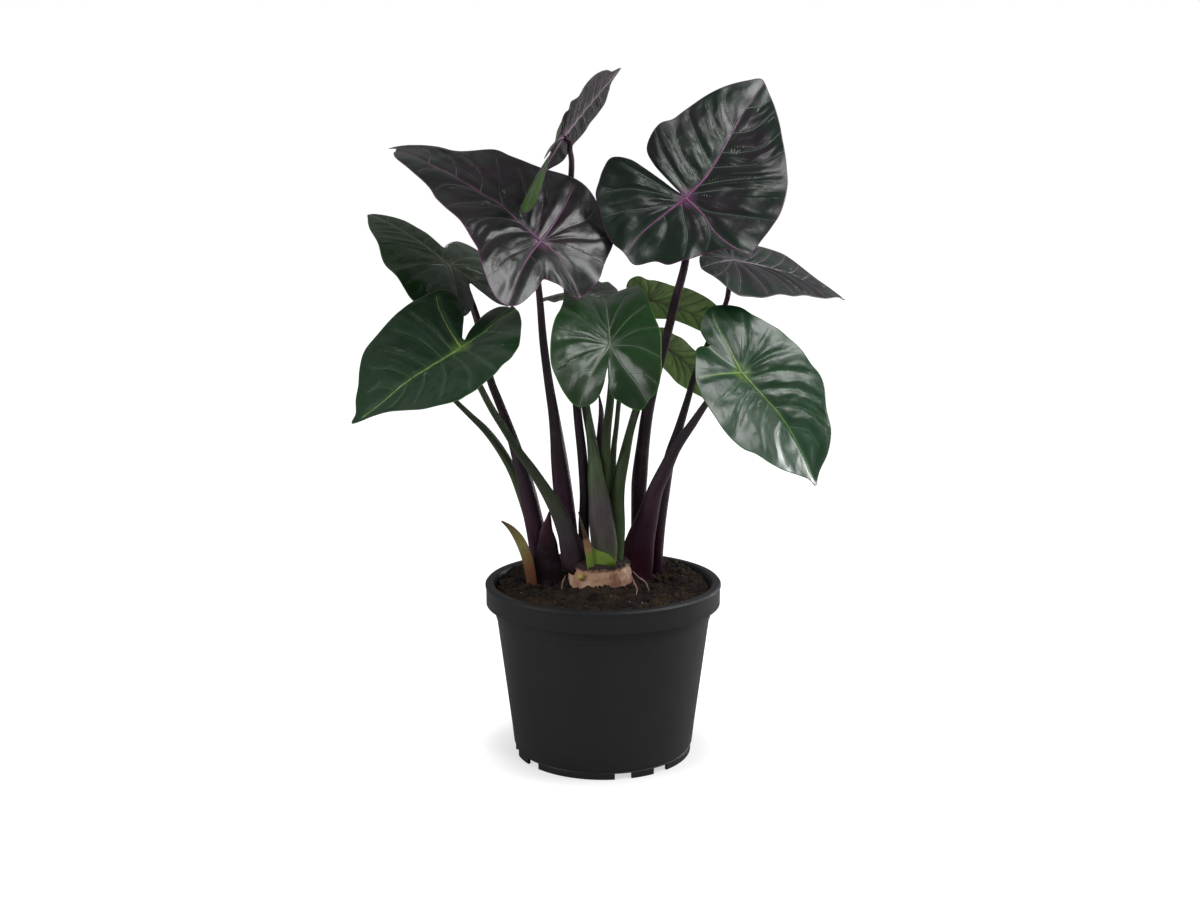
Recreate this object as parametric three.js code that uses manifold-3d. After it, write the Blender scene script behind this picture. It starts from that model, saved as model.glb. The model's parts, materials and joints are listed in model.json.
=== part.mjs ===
// A potted regal shields alocasia: an upright aroid in a round black nursery pot.
// Millimetres, +Z up. The origin is the centre of the flat floor that the pot stands on,
// and the side of the plant that faces the viewer is -Y.
// The blades and petioles are set out one by one, because no two of them are alike.

import * as THREE from 'three';
import { mergeVertices } from 'three/addons/utils/BufferGeometryUtils.js';
import Module from 'manifold-3d';

const wasm = await Module();
wasm.setup();

// Driving dimensions

const GAP = 0.35; // clearance between touching pieces
const POT_HEIGHT = 178.5;
const POT_WALL = 1.7;
const POT_SIDES = 48;
const BASE_RADIUS = 90.6;
const FLOOR = 2;
const FLOOR_RADIUS = 66; // the flat middle of the floor, which stands on the table
const FOOT_HEIGHT = 6.5; // the floor is raised this much between its middle and the rim
const BAND_RADIUS = 119.2;
const BAND_BOTTOM = 156.6;
const LIP_RADIUS = 120;
const LIP_INNER = 110.7;
const NOTCH_WIDTH = 17;
const NOTCH_HEIGHT = 6;
const NOTCH_ANGLES = [12.6, 39]; // degrees from the front, repeated each quarter turn
const SOIL_LEVEL = 168;
const SOIL_RELIEF = 1.3;
const SOIL_SIDES = 40;
const BLADE_THICKNESS = 1.0;
const RIB_DEPTH = 1.6;
const BLADE_RINGS = [0.1, 0.4, 0.74, 1];
const MARGIN_STEP = 13; // length of one edge of a blade's margin
const PETIOLE_SIDES = 8;
const PETIOLE_DEPTH = 8; // at most this far out to the front and back
const PETIOLE_NECK = 7; // last straight stretch, square to the blade
const NECK_GAP = 1.2; // from the petiole's end to the middle of the blade
const ROOTED_POINTS = 4; // how much of a stem's route cuts its hole in the corm and soil

// Helpers

const radians = THREE.MathUtils.degToRad;

function surface(points, faces) {
  const geometry = new THREE.BufferGeometry();
  geometry.setAttribute('position', new THREE.Float32BufferAttribute(points.flat(), 3));
  geometry.setIndex(faces.flat());
  return geometry;
}

// Shared vertices only, with no face that has shrunk to a line.
function weld(geometry) {
  const bare = geometry.clone();
  bare.deleteAttribute('normal');
  bare.deleteAttribute('uv');
  const merged = mergeVertices(bare, 1e-3);
  const index = merged.index.array;
  const kept = [];
  for (let i = 0; i < index.length; i += 3) {
    const [a, b, c] = [index[i], index[i + 1], index[i + 2]];
    if (a !== b && b !== c && c !== a) kept.push(a, b, c);
  }
  merged.setIndex(kept);
  return merged;
}

function solid(geometry) {
  const welded = weld(geometry);
  return new wasm.Manifold(
    new wasm.Mesh({
      numProp: 3,
      vertProperties: new Float32Array(welded.attributes.position.array),
      triVerts: new Uint32Array(welded.index.array),
    }),
  );
}

function fromSolid(body) {
  const mesh = body.getMesh();
  const geometry = new THREE.BufferGeometry();
  geometry.setAttribute('position', new THREE.BufferAttribute(new Float32Array(mesh.vertProperties), 3));
  geometry.setIndex([...mesh.triVerts]);
  return geometry;
}

function cut(geometry, cutters) {
  let body = solid(geometry);
  for (const cutter of cutters) body = body.subtract(solid(cutter));
  return fromSolid(body);
}

const plant = new THREE.Group();

function add(name, geometry, colour, roughness) {
  const material = new THREE.MeshStandardMaterial({ color: colour, roughness, metalness: 0 });
  const mesh = new THREE.Mesh(weld(geometry), material);
  mesh.name = name;
  plant.add(mesh);
}

// Closed skin over a list of rings that have the same number of points.
function skin(rings) {
  const count = rings[0].length;
  const points = rings.flat().map((p) => p.toArray());
  const faces = [];
  for (let ring = 0; ring < rings.length - 1; ring += 1) {
    for (let i = 0; i < count; i += 1) {
      const a = ring * count + i;
      const b = ring * count + ((i + 1) % count);
      faces.push([a, b, b + count], [a, b + count, a + count]);
    }
  }
  const cap = (ring, flip) => {
    const centre = new THREE.Vector3();
    for (const p of rings[ring]) centre.addScaledVector(p, 1 / count);
    points.push(centre.toArray());
    const middle = points.length - 1;
    for (let i = 0; i < count; i += 1) {
      const a = ring * count + i;
      const b = ring * count + ((i + 1) % count);
      faces.push(flip ? [middle, b, a] : [middle, a, b]);
    }
  };
  cap(0, true);
  cap(rings.length - 1, false);
  return surface(points, faces);
}

// Leaves. Each one has its blade's place, its flat outline and its petiole's route.
// attach: where the petiole meets the blade. heading, pitch and roll: degrees that
// turn the blade's midrib and face. length: of the blade in front of the attachment.
// fold: how far the left and right halves rise from the midrib. curl: how far they
// bend down again. droop: the bend along the midrib. lobes: the bend of the two back
// lobes. twist: from the lobes to the tip. outline: the margin as [degrees from the
// midrib, millimetres from the attachment], anticlockwise seen from above the blade.
// petiole: [x, y, z, radius across], from the base up.

const leaves = [
  {
    name: 'leaf_01', // the top leaf, standing up and seen from below
    attach: [-39, -45, 618],
    heading: 64, pitch: 31, roll: -60, length: 142,
    fold: [10, 5], curl: 12, droop: 1, lobes: [25, 10], twist: -10,
    wave: 1.5, waves: 7,
    outline: [
      [-178, 27], [-172, 50], [-165, 61], [-155, 65], [-140, 61], [-122, 49], [-105, 39], [-85, 34],
      [-62, 35], [-45, 41], [-34, 49], [-22, 68], [-14, 90], [-7, 112], [-3, 123], [0, 143],
      [3, 122], [8, 121], [13, 121], [18, 106], [22, 92], [27, 87], [32, 77], [38, 65], [46, 57],
      [60, 51], [75, 47], [90, 46], [105, 53], [122, 67], [140, 79], [155, 83], [165, 75], [174, 52],
    ],
    petiole: [
      [-18, 24, 188, 5.2], [-20, 24, 225, 5.6], [-19, 24, 260, 5.2], [-21, 24, 298, 5.1],
      [-26, 26, 345, 4.4], [-31, 34, 412, 4], [-35, 39, 462, 3.8], [-36, 38, 521, 3.4],
      [-34, 36, 560, 3.1], [-32, 30, 582, 3], [-31, 10, 597, 2.8], [-32, -20, 607, 2.6],
    ],
    colour: 0x4d5a4c,
    stalk: 0x3a2c36,
  },
  {
    name: 'leaf_02', // the big dark leaf at the upper left
    attach: [-59, -60, 522],
    heading: 160, pitch: 50, roll: -25, length: 195,
    fold: [7, 7], curl: 7, droop: 50, lobes: [30, 25], twist: 0,
    wave: 2.5, waves: 9,
    outline: [
      [-176, 65], [-159, 66], [-140, 69], [-126, 74], [-110, 84], [-93, 91], [-73, 97], [-56, 102],
      [-37, 103], [-30, 111], [-25, 127], [-12, 149], [-10, 173], [-8, 201], [-6, 236], [-4, 214],
      [-1, 203], [4, 188], [11, 168], [18, 142], [28, 114], [39, 104], [47, 96], [56, 83], [66, 77],
      [76, 77], [89, 87], [102, 94], [112, 97], [120, 90], [130, 64], [146, 42], [159, 45], [171, 54],
    ],
    petiole: [
      [-30, 30, 178, 7], [-34, 30, 196, 9.5], [-37, 30, 223, 10.3], [-40, 30, 250, 10.3],
      [-45, 28, 297, 8.7], [-47, 25, 318, 7.2], [-50, 19, 345, 5.6], [-55, 8, 382, 4.5],
      [-59, -10, 422, 4], [-61, -32, 462, 3.4], [-63, -49, 496, 3],
    ],
    colour: 0x2b2f2e,
    stalk: 0x3b2a35,
  },
  {
    name: 'leaf_03', // the dark leaf at the upper right that faces the viewer
    attach: [80, -5, 562],
    heading: 25, pitch: 48, roll: 60, length: 150,
    fold: [10, 10], curl: 10, droop: 15, lobes: [0, 0], twist: 0,
    wave: 2, waves: 9,
    outline: [
      [-179, 85], [-167, 71], [-157, 71], [-147, 66], [-137, 63], [-130, 61], [-118, 62], [-108, 66],
      [-102, 74], [-99, 88], [-96, 86], [-84, 85], [-74, 88], [-63, 93], [-45, 101], [-34, 105],
      [-20, 115], [-11, 128], [-3, 142], [2, 150], [6, 156], [11, 143], [20, 122], [27, 108], [38, 90],
      [47, 80], [56, 78], [66, 71], [76, 61], [81, 45], [83, 22], [88, 6], [95, 22], [93, 50], [94, 66],
      [100, 82], [109, 85], [118, 86], [127, 88], [138, 86], [146, 86], [159, 86], [170, 83],
    ],
    petiole: [
      [34, 53, 150, 6], [35, 53, 185, 6.2], [36, 52, 222, 6.6], [37, 52, 250, 7.6], [38, 51, 272, 8.2],
      [42, 46, 315, 6.7], [46, 40, 347, 6.2], [55, 29, 390, 5.1], [63, 21, 421, 4.5],
      [72, 11, 462, 4.4], [81, 5, 500, 3.8], [84, 7, 535, 3.2],
    ],
    colour: 0x2a2a2c,
    stalk: 0x3a2b36,
  },
  {
    name: 'leaf_04', // the green leaf at the middle left, seen nearly edge on
    attach: [-157, 50, 495],
    heading: 140, pitch: 32, roll: -2, length: 135,
    fold: [2, 2], curl: 20, droop: 18, lobes: [14, 17], twist: 0,
    wave: 2, waves: 7,
    outline: [
      [-174, 32], [-170, 44], [-162, 65], [-142, 77], [-118, 85], [-92, 95], [-72, 106], [-57, 113],
      [-49, 96], [-42, 62], [-33, 43], [-24, 52], [-19, 66], [-14, 80], [-11, 98], [-7, 111],
      [-3, 122], [1, 130], [8, 116], [16, 102], [24, 91], [34, 81], [44, 74], [61, 69], [78, 68],
      [93, 69], [106, 73], [118, 79], [135, 83], [154, 80], [164, 68], [173, 54], [179, 38],
    ],
    petiole: [
      [-63, 31, 150, 8.6], [-65, 31, 180, 9.2], [-69, 30, 218, 10], [-74, 30, 244, 9.6],
      [-79, 30, 268, 8.6], [-92, 31, 316, 5.8], [-99, 32, 337, 4.7], [-108, 34, 360, 4.4],
      [-115, 37, 378, 4.1], [-122, 41, 411, 4], [-130, 47, 444, 3.8], [-141, 52, 470, 3.3],
    ],
    colour: 0x2a4427,
    stalk: 0x3a2f35,
  },
  {
    name: 'leaf_05', // the green leaf at the lower left, nearest to the viewer
    attach: [-133, -80, 424],
    heading: 232, pitch: -26, roll: -17, length: 150,
    fold: [17, 17], curl: 6, droop: -9, lobes: [0, 5], twist: 0,
    wave: 1.5, waves: 7,
    outline: [
      [-178, 79], [-172, 75], [-167, 63], [-163, 47], [-160, 31], [-152, 12], [-142, 14],
      [-142, 28], [-145, 40], [-143, 50], [-139, 66], [-134, 78], [-127, 81], [-115, 78],
      [-104, 76], [-88, 72], [-64, 77], [-49, 85], [-38, 93], [-25, 104], [-17, 113], [-10, 126],
      [-4, 138], [-1, 150], [2, 131], [6, 122], [14, 120], [22, 119], [28, 113], [38, 104],
      [42, 97], [48, 90], [56, 81], [64, 76], [73, 69], [84, 65], [95, 61], [106, 60], [120, 58],
      [138, 59], [154, 65], [169, 73],
    ],
    petiole: [
      [-26, 8, 184, 7], [-29, 8, 192, 12], [-30, 8, 204, 13.6], [-36, 6, 223, 10.2],
      [-44, 4, 245, 8.6], [-58, 0, 271, 6.1], [-71, -6, 293, 5], [-85, -15, 315, 4.2],
      [-97, -28, 338, 3.8], [-108, -43, 360, 3.4], [-117, -58, 382, 3.2], [-126, -70, 404, 2.9],
    ],
    colour: 0x2b4a30,
    stalk: 0x42343c,
  },
  {
    name: 'leaf_06', // the green leaf in the middle
    attach: [6, -70, 425],
    heading: 97, pitch: 50, roll: 0, length: 150,
    fold: [25, 25], curl: 10, droop: 80, lobes: [30, 30], twist: 0,
    wave: 1.5, waves: 7,
    outline: [
      [-173, 59], [-166, 66], [-158, 72], [-149, 68], [-140, 66], [-127, 59], [-113, 53], [-92, 50],
      [-72, 50], [-51, 58], [-35, 74], [-22, 98], [-10, 128], [0, 150], [10, 128], [24, 96], [39, 68],
      [60, 57], [76, 58], [92, 61], [115, 69], [126, 71], [136, 73], [148, 74], [157, 67], [163, 58],
      [167, 44], [170, 26], [173, 38], [178, 52],
    ],
    petiole: [
      [2, 24, 188, 4.6], [4, 24, 235, 4.6], [4, 22, 267, 4.6], [3, 14, 310, 4.6], [4, 4, 334, 4.4],
      [7, -18, 366, 3.9], [8, -43, 394, 3.3],
    ],
    colour: 0x2c4a2c,
    stalk: 0x4a4a40,
  },
  {
    name: 'leaf_07', // the leaf at the upper right, behind
    attach: [130, 35, 501],
    heading: 19, pitch: -8, roll: 24, length: 142,
    fold: [6, 6], curl: 17, droop: 20, lobes: [10, 10], twist: 0,
    wave: 2, waves: 7,
    outline: [
      [-175, 36], [-163, 42], [-149, 48], [-130, 58], [-118, 67], [-110, 73], [-103, 75], [-93, 72],
      [-82, 74], [-64, 72], [-50, 75], [-37, 81], [-31, 92], [-25, 103], [-10, 123], [-2, 139],
      [4, 129], [10, 114], [18, 103], [31, 91], [38, 81], [47, 78], [65, 74], [85, 72], [105, 70],
      [125, 66], [145, 60], [165, 45], [180, 24],
    ],
    petiole: [
      [56, 51, 150, 5.6], [57, 51, 185, 6], [59, 51, 222, 6.6], [63, 50, 258, 6.8], [70, 49, 299, 5.7],
      [78, 48, 325, 4.7], [87, 45, 357, 3.6], [95, 43, 386, 3], [112, 40, 428, 2.7],
      [126, 39, 462, 2.7],
    ],
    colour: 0x4a4d4c,
    stalk: 0x45323f,
  },
  {
    name: 'leaf_08', // the green leaf at the lower right
    attach: [133, -45, 396],
    heading: 359, pitch: -43, roll: 44, length: 151,
    fold: [15, 15], curl: 12, droop: 34, lobes: [16, 0], twist: 0,
    wave: 1.5, waves: 7,
    outline: [
      [-166, 48], [-153, 55], [-140, 58], [-119, 65], [-102, 72], [-89, 77], [-78, 82], [-62, 87],
      [-52, 88], [-42, 94], [-32, 100], [-15, 114], [-6, 129], [-2, 143], [4, 134], [12, 129],
      [22, 121], [30, 109], [43, 102], [49, 95], [55, 85], [66, 78], [77, 73], [87, 71], [101, 66],
      [114, 65], [124, 70], [138, 73], [150, 72], [161, 65], [172, 57], [183, 40],
    ],
    petiole: [
      [34, 35, 150, 15], [35, 35, 178, 17], [36, 35, 196, 17], [39, 34, 212, 15], [45, 32, 233, 11.9],
      [54, 27, 266, 8.2], [63, 20, 288, 7.2], [73, 10, 312, 5.6], [90, -8, 342, 4.2],
      [101, -21, 362, 3.3], [113, -32, 381, 2.8],
    ],
    colour: 0x2a4a36,
    stalk: 0x503a4a,
  },
  {
    name: 'leaf_09', // a young leaf behind leaf_08, seen from below
    attach: [45, 75, 460],
    heading: 5, pitch: -14, roll: -38, length: 104,
    fold: [6, 6], curl: 12, droop: 20, lobes: [10, 10], twist: 0,
    wave: 1.2, waves: 7,
    outline: [
      [-176, 14], [-165, 22], [-152, 28], [-135, 34], [-118, 35], [-102, 31], [-90, 33], [-70, 32],
      [-57, 36], [-46, 50], [-36, 59], [-27, 67], [-18, 76], [-9, 90], [0, 106], [9, 90], [18, 76],
      [26, 57], [36, 45], [50, 38], [70, 34], [92, 33], [115, 33], [138, 35], [155, 32], [168, 24],
    ],
    petiole: [
      [8, 37, 188, 3.8], [8, 38, 232, 3.6], [10, 40, 274, 3.4], [11, 44, 305, 3.1], [14, 50, 330, 2.6],
      [17, 58, 360, 2.5], [21, 66, 397, 2.4], [27, 73, 427, 2.3],
    ],
    colour: 0x6f8550,
    stalk: 0x4c5040,
  },
  {
    name: 'leaf_10', // a young leaf below leaf_09, seen from below
    attach: [64, 80, 411],
    heading: 0, pitch: -35, roll: -40, length: 104,
    fold: [6, 6], curl: 12, droop: 20, lobes: [10, 10], twist: 0,
    wave: 1.2, waves: 7,
    outline: [
      [-176, 12], [-166, 18], [-150, 22], [-134, 24], [-116, 24], [-96, 24], [-72, 25], [-52, 31],
      [-38, 39], [-24, 55], [-10, 82], [0, 106], [9, 90], [20, 76], [32, 67], [46, 56], [57, 42],
      [75, 33], [95, 30], [115, 30], [138, 28], [155, 25], [168, 20],
    ],
    petiole: [
      [14, 14, 188, 6.2], [16, 14, 227, 6.6], [15, 15, 258, 6.8], [16, 17, 275, 6.8], [22, 24, 303, 5.6],
      [28, 32, 328, 4.3], [35, 40, 350, 4.1], [46, 51, 377, 3.1], [56, 60, 397, 2.6],
    ],
    colour: 0x6d8350,
    stalk: 0x585848,
  },
  {
    name: 'leaf_11', // the small leaf at the back, seen edge on
    attach: [-30, 95, 465],
    heading: 62, pitch: -4, roll: -20, length: 90,
    fold: [6, 6], curl: 12, droop: 10, lobes: [10, 10], twist: 0,
    wave: 1.2, waves: 7,
    outline: [
      [-176, 20], [-168, 34], [-156, 41], [-140, 42], [-120, 37], [-98, 33], [-76, 33], [-56, 37],
      [-40, 44], [-26, 55], [-12, 72], [0, 92], [12, 72], [26, 55], [40, 44], [56, 37], [76, 33],
      [98, 33], [120, 37], [140, 42], [156, 41], [168, 34],
    ],
    petiole: [
      [0, 3, 188, 12.5], [1, 2, 214, 13.4], [-2, 3, 240, 12.6], [-4, 5, 260, 10.8], [-7, 8, 280, 8.7],
      [-9, 13, 300, 6.6], [-12, 21, 322, 5.1], [-16, 31, 342, 4.6], [-20, 42, 364, 4.4],
      [-24, 56, 392, 4], [-28, 77, 428, 3.3],
    ],
    colour: 0x5f6c5c,
    stalk: 0x55564c,
  },
  {
    name: 'leaf_12', // the smallest leaf, hidden behind leaf_05
    attach: [-175, -20, 394],
    heading: 215, pitch: -12, roll: 10, length: 62,
    fold: [8, 8], curl: 12, droop: 20, lobes: [10, 10], twist: 0,
    wave: 1, waves: 7,
    outline: [
      [-176, 14], [-168, 24], [-156, 29], [-140, 30], [-120, 27], [-98, 24], [-76, 24], [-56, 26],
      [-40, 31], [-26, 39], [-12, 50], [0, 63], [12, 50], [26, 39], [40, 31], [56, 26], [76, 24],
      [98, 24], [120, 27], [140, 30], [156, 29], [168, 24],
    ],
    petiole: [
      [-66, 47, 150, 4.4], [-68, 47, 185, 4.8], [-75, 47, 219, 4.7], [-84, 47, 252, 4.7],
      [-94, 45, 282, 4.9], [-106, 39, 306, 4.6], [-120, 28, 328, 3.9], [-134, 15, 345, 3],
      [-148, 2, 362, 2.5], [-162, -11, 380, 2.3],
    ],
    colour: 0x33502e,
    stalk: 0x42403a,
  },
];

// The blade's own axes: along the midrib, to the left, and out of the upper face.
function bladeAxes({ heading, pitch, roll }) {
  const [h, p, r] = [radians(heading), radians(pitch), radians(roll)];
  const along = new THREE.Vector3(Math.cos(h) * Math.cos(p), Math.sin(h) * Math.cos(p), Math.sin(p));
  const level = new THREE.Vector3(-Math.sin(h), Math.cos(h), 0);
  const above = new THREE.Vector3().crossVectors(along, level);
  const left = level.multiplyScalar(Math.cos(r)).addScaledVector(above, Math.sin(r));
  const up = new THREE.Vector3().crossVectors(along, left);
  return { along, left, up };
}

// A point of the flat blade, u along the midrib and v to the left, on the bent blade.
const SOFT_FOLD = 6; // the fold at the midrib is rounded over this width
const HALF_WIDTH = 0.48; // these three are shares of the blade's length
const TWIST_REACH = 0.3;
const LOBE_REACH = 0.5;
function bendBlade(u, v, leaf, axes, lift = 0) {
  const side = v > 0 ? 0 : 1;
  const width = HALF_WIDTH * leaf.length;
  const across = Math.hypot(v, SOFT_FOLD) - SOFT_FOLD;
  const rise = radians(leaf.fold[side]) - (radians(leaf.curl) * Math.abs(v)) / (2 * width);
  const turn = radians(leaf.twist) * Math.tanh(u / (TWIST_REACH * leaf.length));
  const [v0, w0] = [v * Math.cos(rise), across * Math.sin(rise) + lift];
  const v1 = v0 * Math.cos(turn) - w0 * Math.sin(turn);
  const w1 = v0 * Math.sin(turn) + w0 * Math.cos(turn);
  const [turned, reach] = u > 0 ? [leaf.droop, 1] : [leaf.lobes[side], LOBE_REACH];
  const bend = radians(turned) / (reach * leaf.length);
  const rate = Math.abs(bend) < 1e-7 ? 1e-7 : bend;
  const angle = rate * u;
  const x = Math.sin(angle) / rate + w1 * Math.sin(angle);
  const z = (Math.cos(angle) - 1) / rate + w1 * Math.cos(angle);
  return new THREE.Vector3(...leaf.attach)
    .addScaledVector(axes.along, x)
    .addScaledVector(axes.left, v1)
    .addScaledVector(axes.up, z);
}

// The margin as flat points, evenly close, with every given corner kept.
function margin(leaf) {
  const corners = leaf.outline.map(([degrees, reach]) => {
    const angle = radians(degrees);
    return new THREE.Vector3(reach * Math.cos(angle), reach * Math.sin(angle), 0);
  });
  const curve = new THREE.CatmullRomCurve3(corners, true, 'centripetal');
  const points = [];
  corners.forEach((corner, i) => {
    const next = corners[(i + 1) % corners.length];
    const steps = Math.max(1, Math.round(corner.distanceTo(next) / MARGIN_STEP));
    for (let step = 0; step < steps; step += 1) {
      points.push(curve.getPoint((i + step / steps) / corners.length));
    }
  });
  return points;
}

// The margin's waves, growing from nothing in the inner half of the blade.
function waveHeight(leaf, angle, part) {
  return leaf.wave * part ** 3 * Math.sin(leaf.waves * angle + leaf.length);
}

// Ribs stand out below the midrib and below the main vein of each back lobe.
const RIBS = [0, 150, -150];
const RIB_SPREAD = 0.08; // radians either side of the vein
const RIB_START = 20; // full depth this far from the attachment
function ribDepth(angle, reach, part) {
  const nearest = Math.min(...RIBS.map((rib) => Math.abs(angle - radians(rib))));
  const fade = Math.min(1, (reach / RIB_START) ** 2) * (1 - part);
  return RIB_DEPTH * fade * Math.exp(-((nearest / RIB_SPREAD) ** 2));
}

function blade(leaf) {
  const axes = bladeAxes(leaf);
  const rays = margin(leaf);
  const top = [];
  const bottom = [];
  const place = (u, v, part) => {
    const angle = Math.atan2(v, u);
    const height = waveHeight(leaf, angle, part);
    const half = BLADE_THICKNESS / 2;
    top.push(bendBlade(u, v, leaf, axes, height + half));
    bottom.push(bendBlade(u, v, leaf, axes, height - half - ribDepth(angle, Math.hypot(u, v), part)));
  };
  place(0, 0, 0);
  for (const part of BLADE_RINGS) for (const ray of rays) place(ray.x * part, ray.y * part, part);
  const count = rays.length;
  const under = top.length;
  const faces = [];
  const both = (a, b, c) => faces.push([a, b, c], [under + a, under + c, under + b]);
  for (let i = 0; i < count; i += 1) {
    const j = (i + 1) % count;
    both(0, 1 + i, 1 + j);
    for (let ring = 0; ring < BLADE_RINGS.length - 1; ring += 1) {
      const a = 1 + ring * count;
      both(a + i, a + count + i, a + count + j);
      both(a + i, a + count + j, a + j);
    }
    const rim = 1 + (BLADE_RINGS.length - 1) * count;
    faces.push([rim + j, rim + i, under + rim + i], [rim + j, under + rim + i, under + rim + j]);
  }
  return surface([...top, ...bottom].map((p) => p.toArray()), faces);
}

// A stem or sheath: an oval section carried along a smooth route. It is at most twice
// maxDepth thick from front to back, and grown by clearance where it cuts its hole.
function stem(route, maxDepth, clearance = 0) {
  const nodes = route.map(([x, y, z]) => new THREE.Vector3(x, y, z));
  const curve = new THREE.CatmullRomCurve3(nodes, false, 'centripetal');
  const front = new THREE.Vector3(0, 1, 0);
  const last = route.length - 1;
  const rings = route.map(([, , , radius], i) => {
    const along = curve.getTangent(i / last);
    const depth = front.clone().addScaledVector(along, -front.dot(along)).normalize();
    const across = new THREE.Vector3().crossVectors(along, depth);
    const centre = nodes[i].clone();
    if (i === 0) centre.addScaledVector(along, -clearance);
    return Array.from({ length: PETIOLE_SIDES }, (_, k) => {
      const angle = (2 * Math.PI * (k + 0.5)) / PETIOLE_SIDES;
      return centre
        .clone()
        .addScaledVector(across, -Math.cos(angle) * (radius + clearance))
        .addScaledVector(depth, Math.sin(angle) * (Math.min(radius, maxDepth) + clearance));
    });
  });
  return skin(rings);
}

function petioleRoute(leaf) {
  const { up } = bladeAxes(leaf);
  const tip = leaf.petiole.at(-1)[3];
  const below = (distance, radius) => {
    const [x, y, z] = new THREE.Vector3(...leaf.attach).addScaledVector(up, -distance).toArray();
    return [x, y, z, radius];
  };
  return [...leaf.petiole, below(PETIOLE_NECK, tip), below(NECK_GAP, tip * 0.9)];
}

// Sheaths and bracts at the foot of the plant: [x, y, z, radius across], thin in depth.

const sheaths = [
  {
    name: 'rolled_leaf_tip', depth: 5, colour: 0x2e2630,
    route: [
      [-7, 37, 188, 4.4], [-7, 38, 232, 4.6], [-6, 38, 264, 4.6], [-4, 36, 301, 4.2], [-3, 32, 328, 3.1],
      [-2, 29, 347, 2.6], [-4, 27, 364, 0.8],
    ],
  },
  {
    name: 'cataphyll_purple', depth: 1.4, colour: 0x4a2f40,
    route: [
      [-58, 16, 158, 15], [-57, 16, 184, 14.5], [-58, 16, 196, 13.5], [-57, 16, 212, 10], [-58, 16, 226, 6.5],
      [-56, 16, 238, 3], [-55, 16, 246, 0.8],
    ],
  },
  {
    name: 'cataphyll_dry', depth: 1.2, colour: 0x8a6a35,
    route: [
      [-72, 11, 158, 5], [-75, 11, 184, 5.5], [-79, 11, 201, 5.5], [-86, 11, 218, 5], [-95, 11, 230, 3],
      [-104, 11, 237, 0.8],
    ],
  },
  {
    name: 'cataphyll_strip', depth: 0.9, colour: 0x7b6545,
    route: [
      [-12, -8.6, 190, 3.6], [-14, -8.6, 206, 4], [-17, -8.6, 222, 3.4], [-21, -8.6, 236, 1.6],
      [-25, -8.6, 251, 0.5],
    ],
  },
  {
    name: 'bract_green', depth: 0.6, colour: 0x7fa034,
    route: [
      [-23, -6.6, 194, 1], [-20, -6.6, 197, 4], [-12, -6.6, 203, 6.5], [-3, -6.6, 205, 5.5],
      [6, -6.6, 204, 3.2], [12, -6.6, 203, 1],
    ],
  },
];

// Pot: a moulded shell with a turned-down rim, a standing ring and notches through it.

const potProfile = [
  [0, 0],
  [FLOOR_RADIUS, 0],
  [FLOOR_RADIUS + 3, FOOT_HEIGHT],
  [BASE_RADIUS - 2.8, FOOT_HEIGHT],
  [BASE_RADIUS - 2.8, 0],
  [BASE_RADIUS, 0],
  [BASE_RADIUS + 0.2, 6.4],
  [BASE_RADIUS - 0.4, 7],
  [BASE_RADIUS - 0.2, 8.4],
  [92.2, 10.5],
  [93.9, 26],
  [105.1, 114.5],
  [108.7, 142.6],
  [109.6, 143.4],
  [110.6, 156],
  [112.4, 172.6],
  [BAND_RADIUS - POT_WALL, 172.6],
  [BAND_RADIUS - POT_WALL, BAND_BOTTOM],
  [BAND_RADIUS, BAND_BOTTOM],
  [BAND_RADIUS, 173.8],
  [LIP_RADIUS, 174.6],
  [LIP_RADIUS, 176.6],
  [LIP_RADIUS - 1.6, POT_HEIGHT],
  [LIP_INNER + 1.6, POT_HEIGHT],
  [LIP_INNER, 176.6],
  [LIP_INNER - 0.6, 170],
  [108.7, 156],
  [106.8, 142],
  [103.4, 114.5],
  [92.2, 26],
  [90.6, 11.5],
  [88.6, FOOT_HEIGHT + FLOOR],
  [FLOOR_RADIUS + 2, FOOT_HEIGHT + FLOOR],
  [FLOOR_RADIUS - 1, FLOOR],
  [0, FLOOR],
];

// A profile of [radius, height] turned round the pot's axis.
function lathed(profile, sides) {
  const line = profile.map(([radius, height]) => new THREE.Vector2(radius, height));
  return new THREE.LatheGeometry(line, sides).rotateX(Math.PI / 2);
}

const NOTCH_CHAMFER = 2;
const NOTCH_REACH = 12; // from front to back, more than the standing ring's thickness
function notch(degrees) {
  const half = NOTCH_WIDTH / 2;
  const arch = new THREE.Shape();
  arch.moveTo(-half, -1);
  arch.lineTo(half, -1);
  arch.lineTo(half, NOTCH_HEIGHT - NOTCH_CHAMFER);
  arch.lineTo(half - NOTCH_CHAMFER, NOTCH_HEIGHT);
  arch.lineTo(NOTCH_CHAMFER - half, NOTCH_HEIGHT);
  arch.lineTo(-half, NOTCH_HEIGHT - NOTCH_CHAMFER);
  const block = new THREE.ExtrudeGeometry(arch, { depth: NOTCH_REACH, bevelEnabled: false });
  block.rotateX(Math.PI / 2).translate(0, -(BASE_RADIUS - 8), 0);
  return block.rotateZ(radians(degrees));
}

const notches = [0, 90, 180, 270].flatMap((quarter) => NOTCH_ANGLES.map((angle) => notch(quarter + angle)));
add('pot', cut(lathed(potProfile, POT_SIDES), notches), 0x26272a, 0.5);

// Corm: a squat ringed trunk with a knob and two root stubs at its foot.

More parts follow.
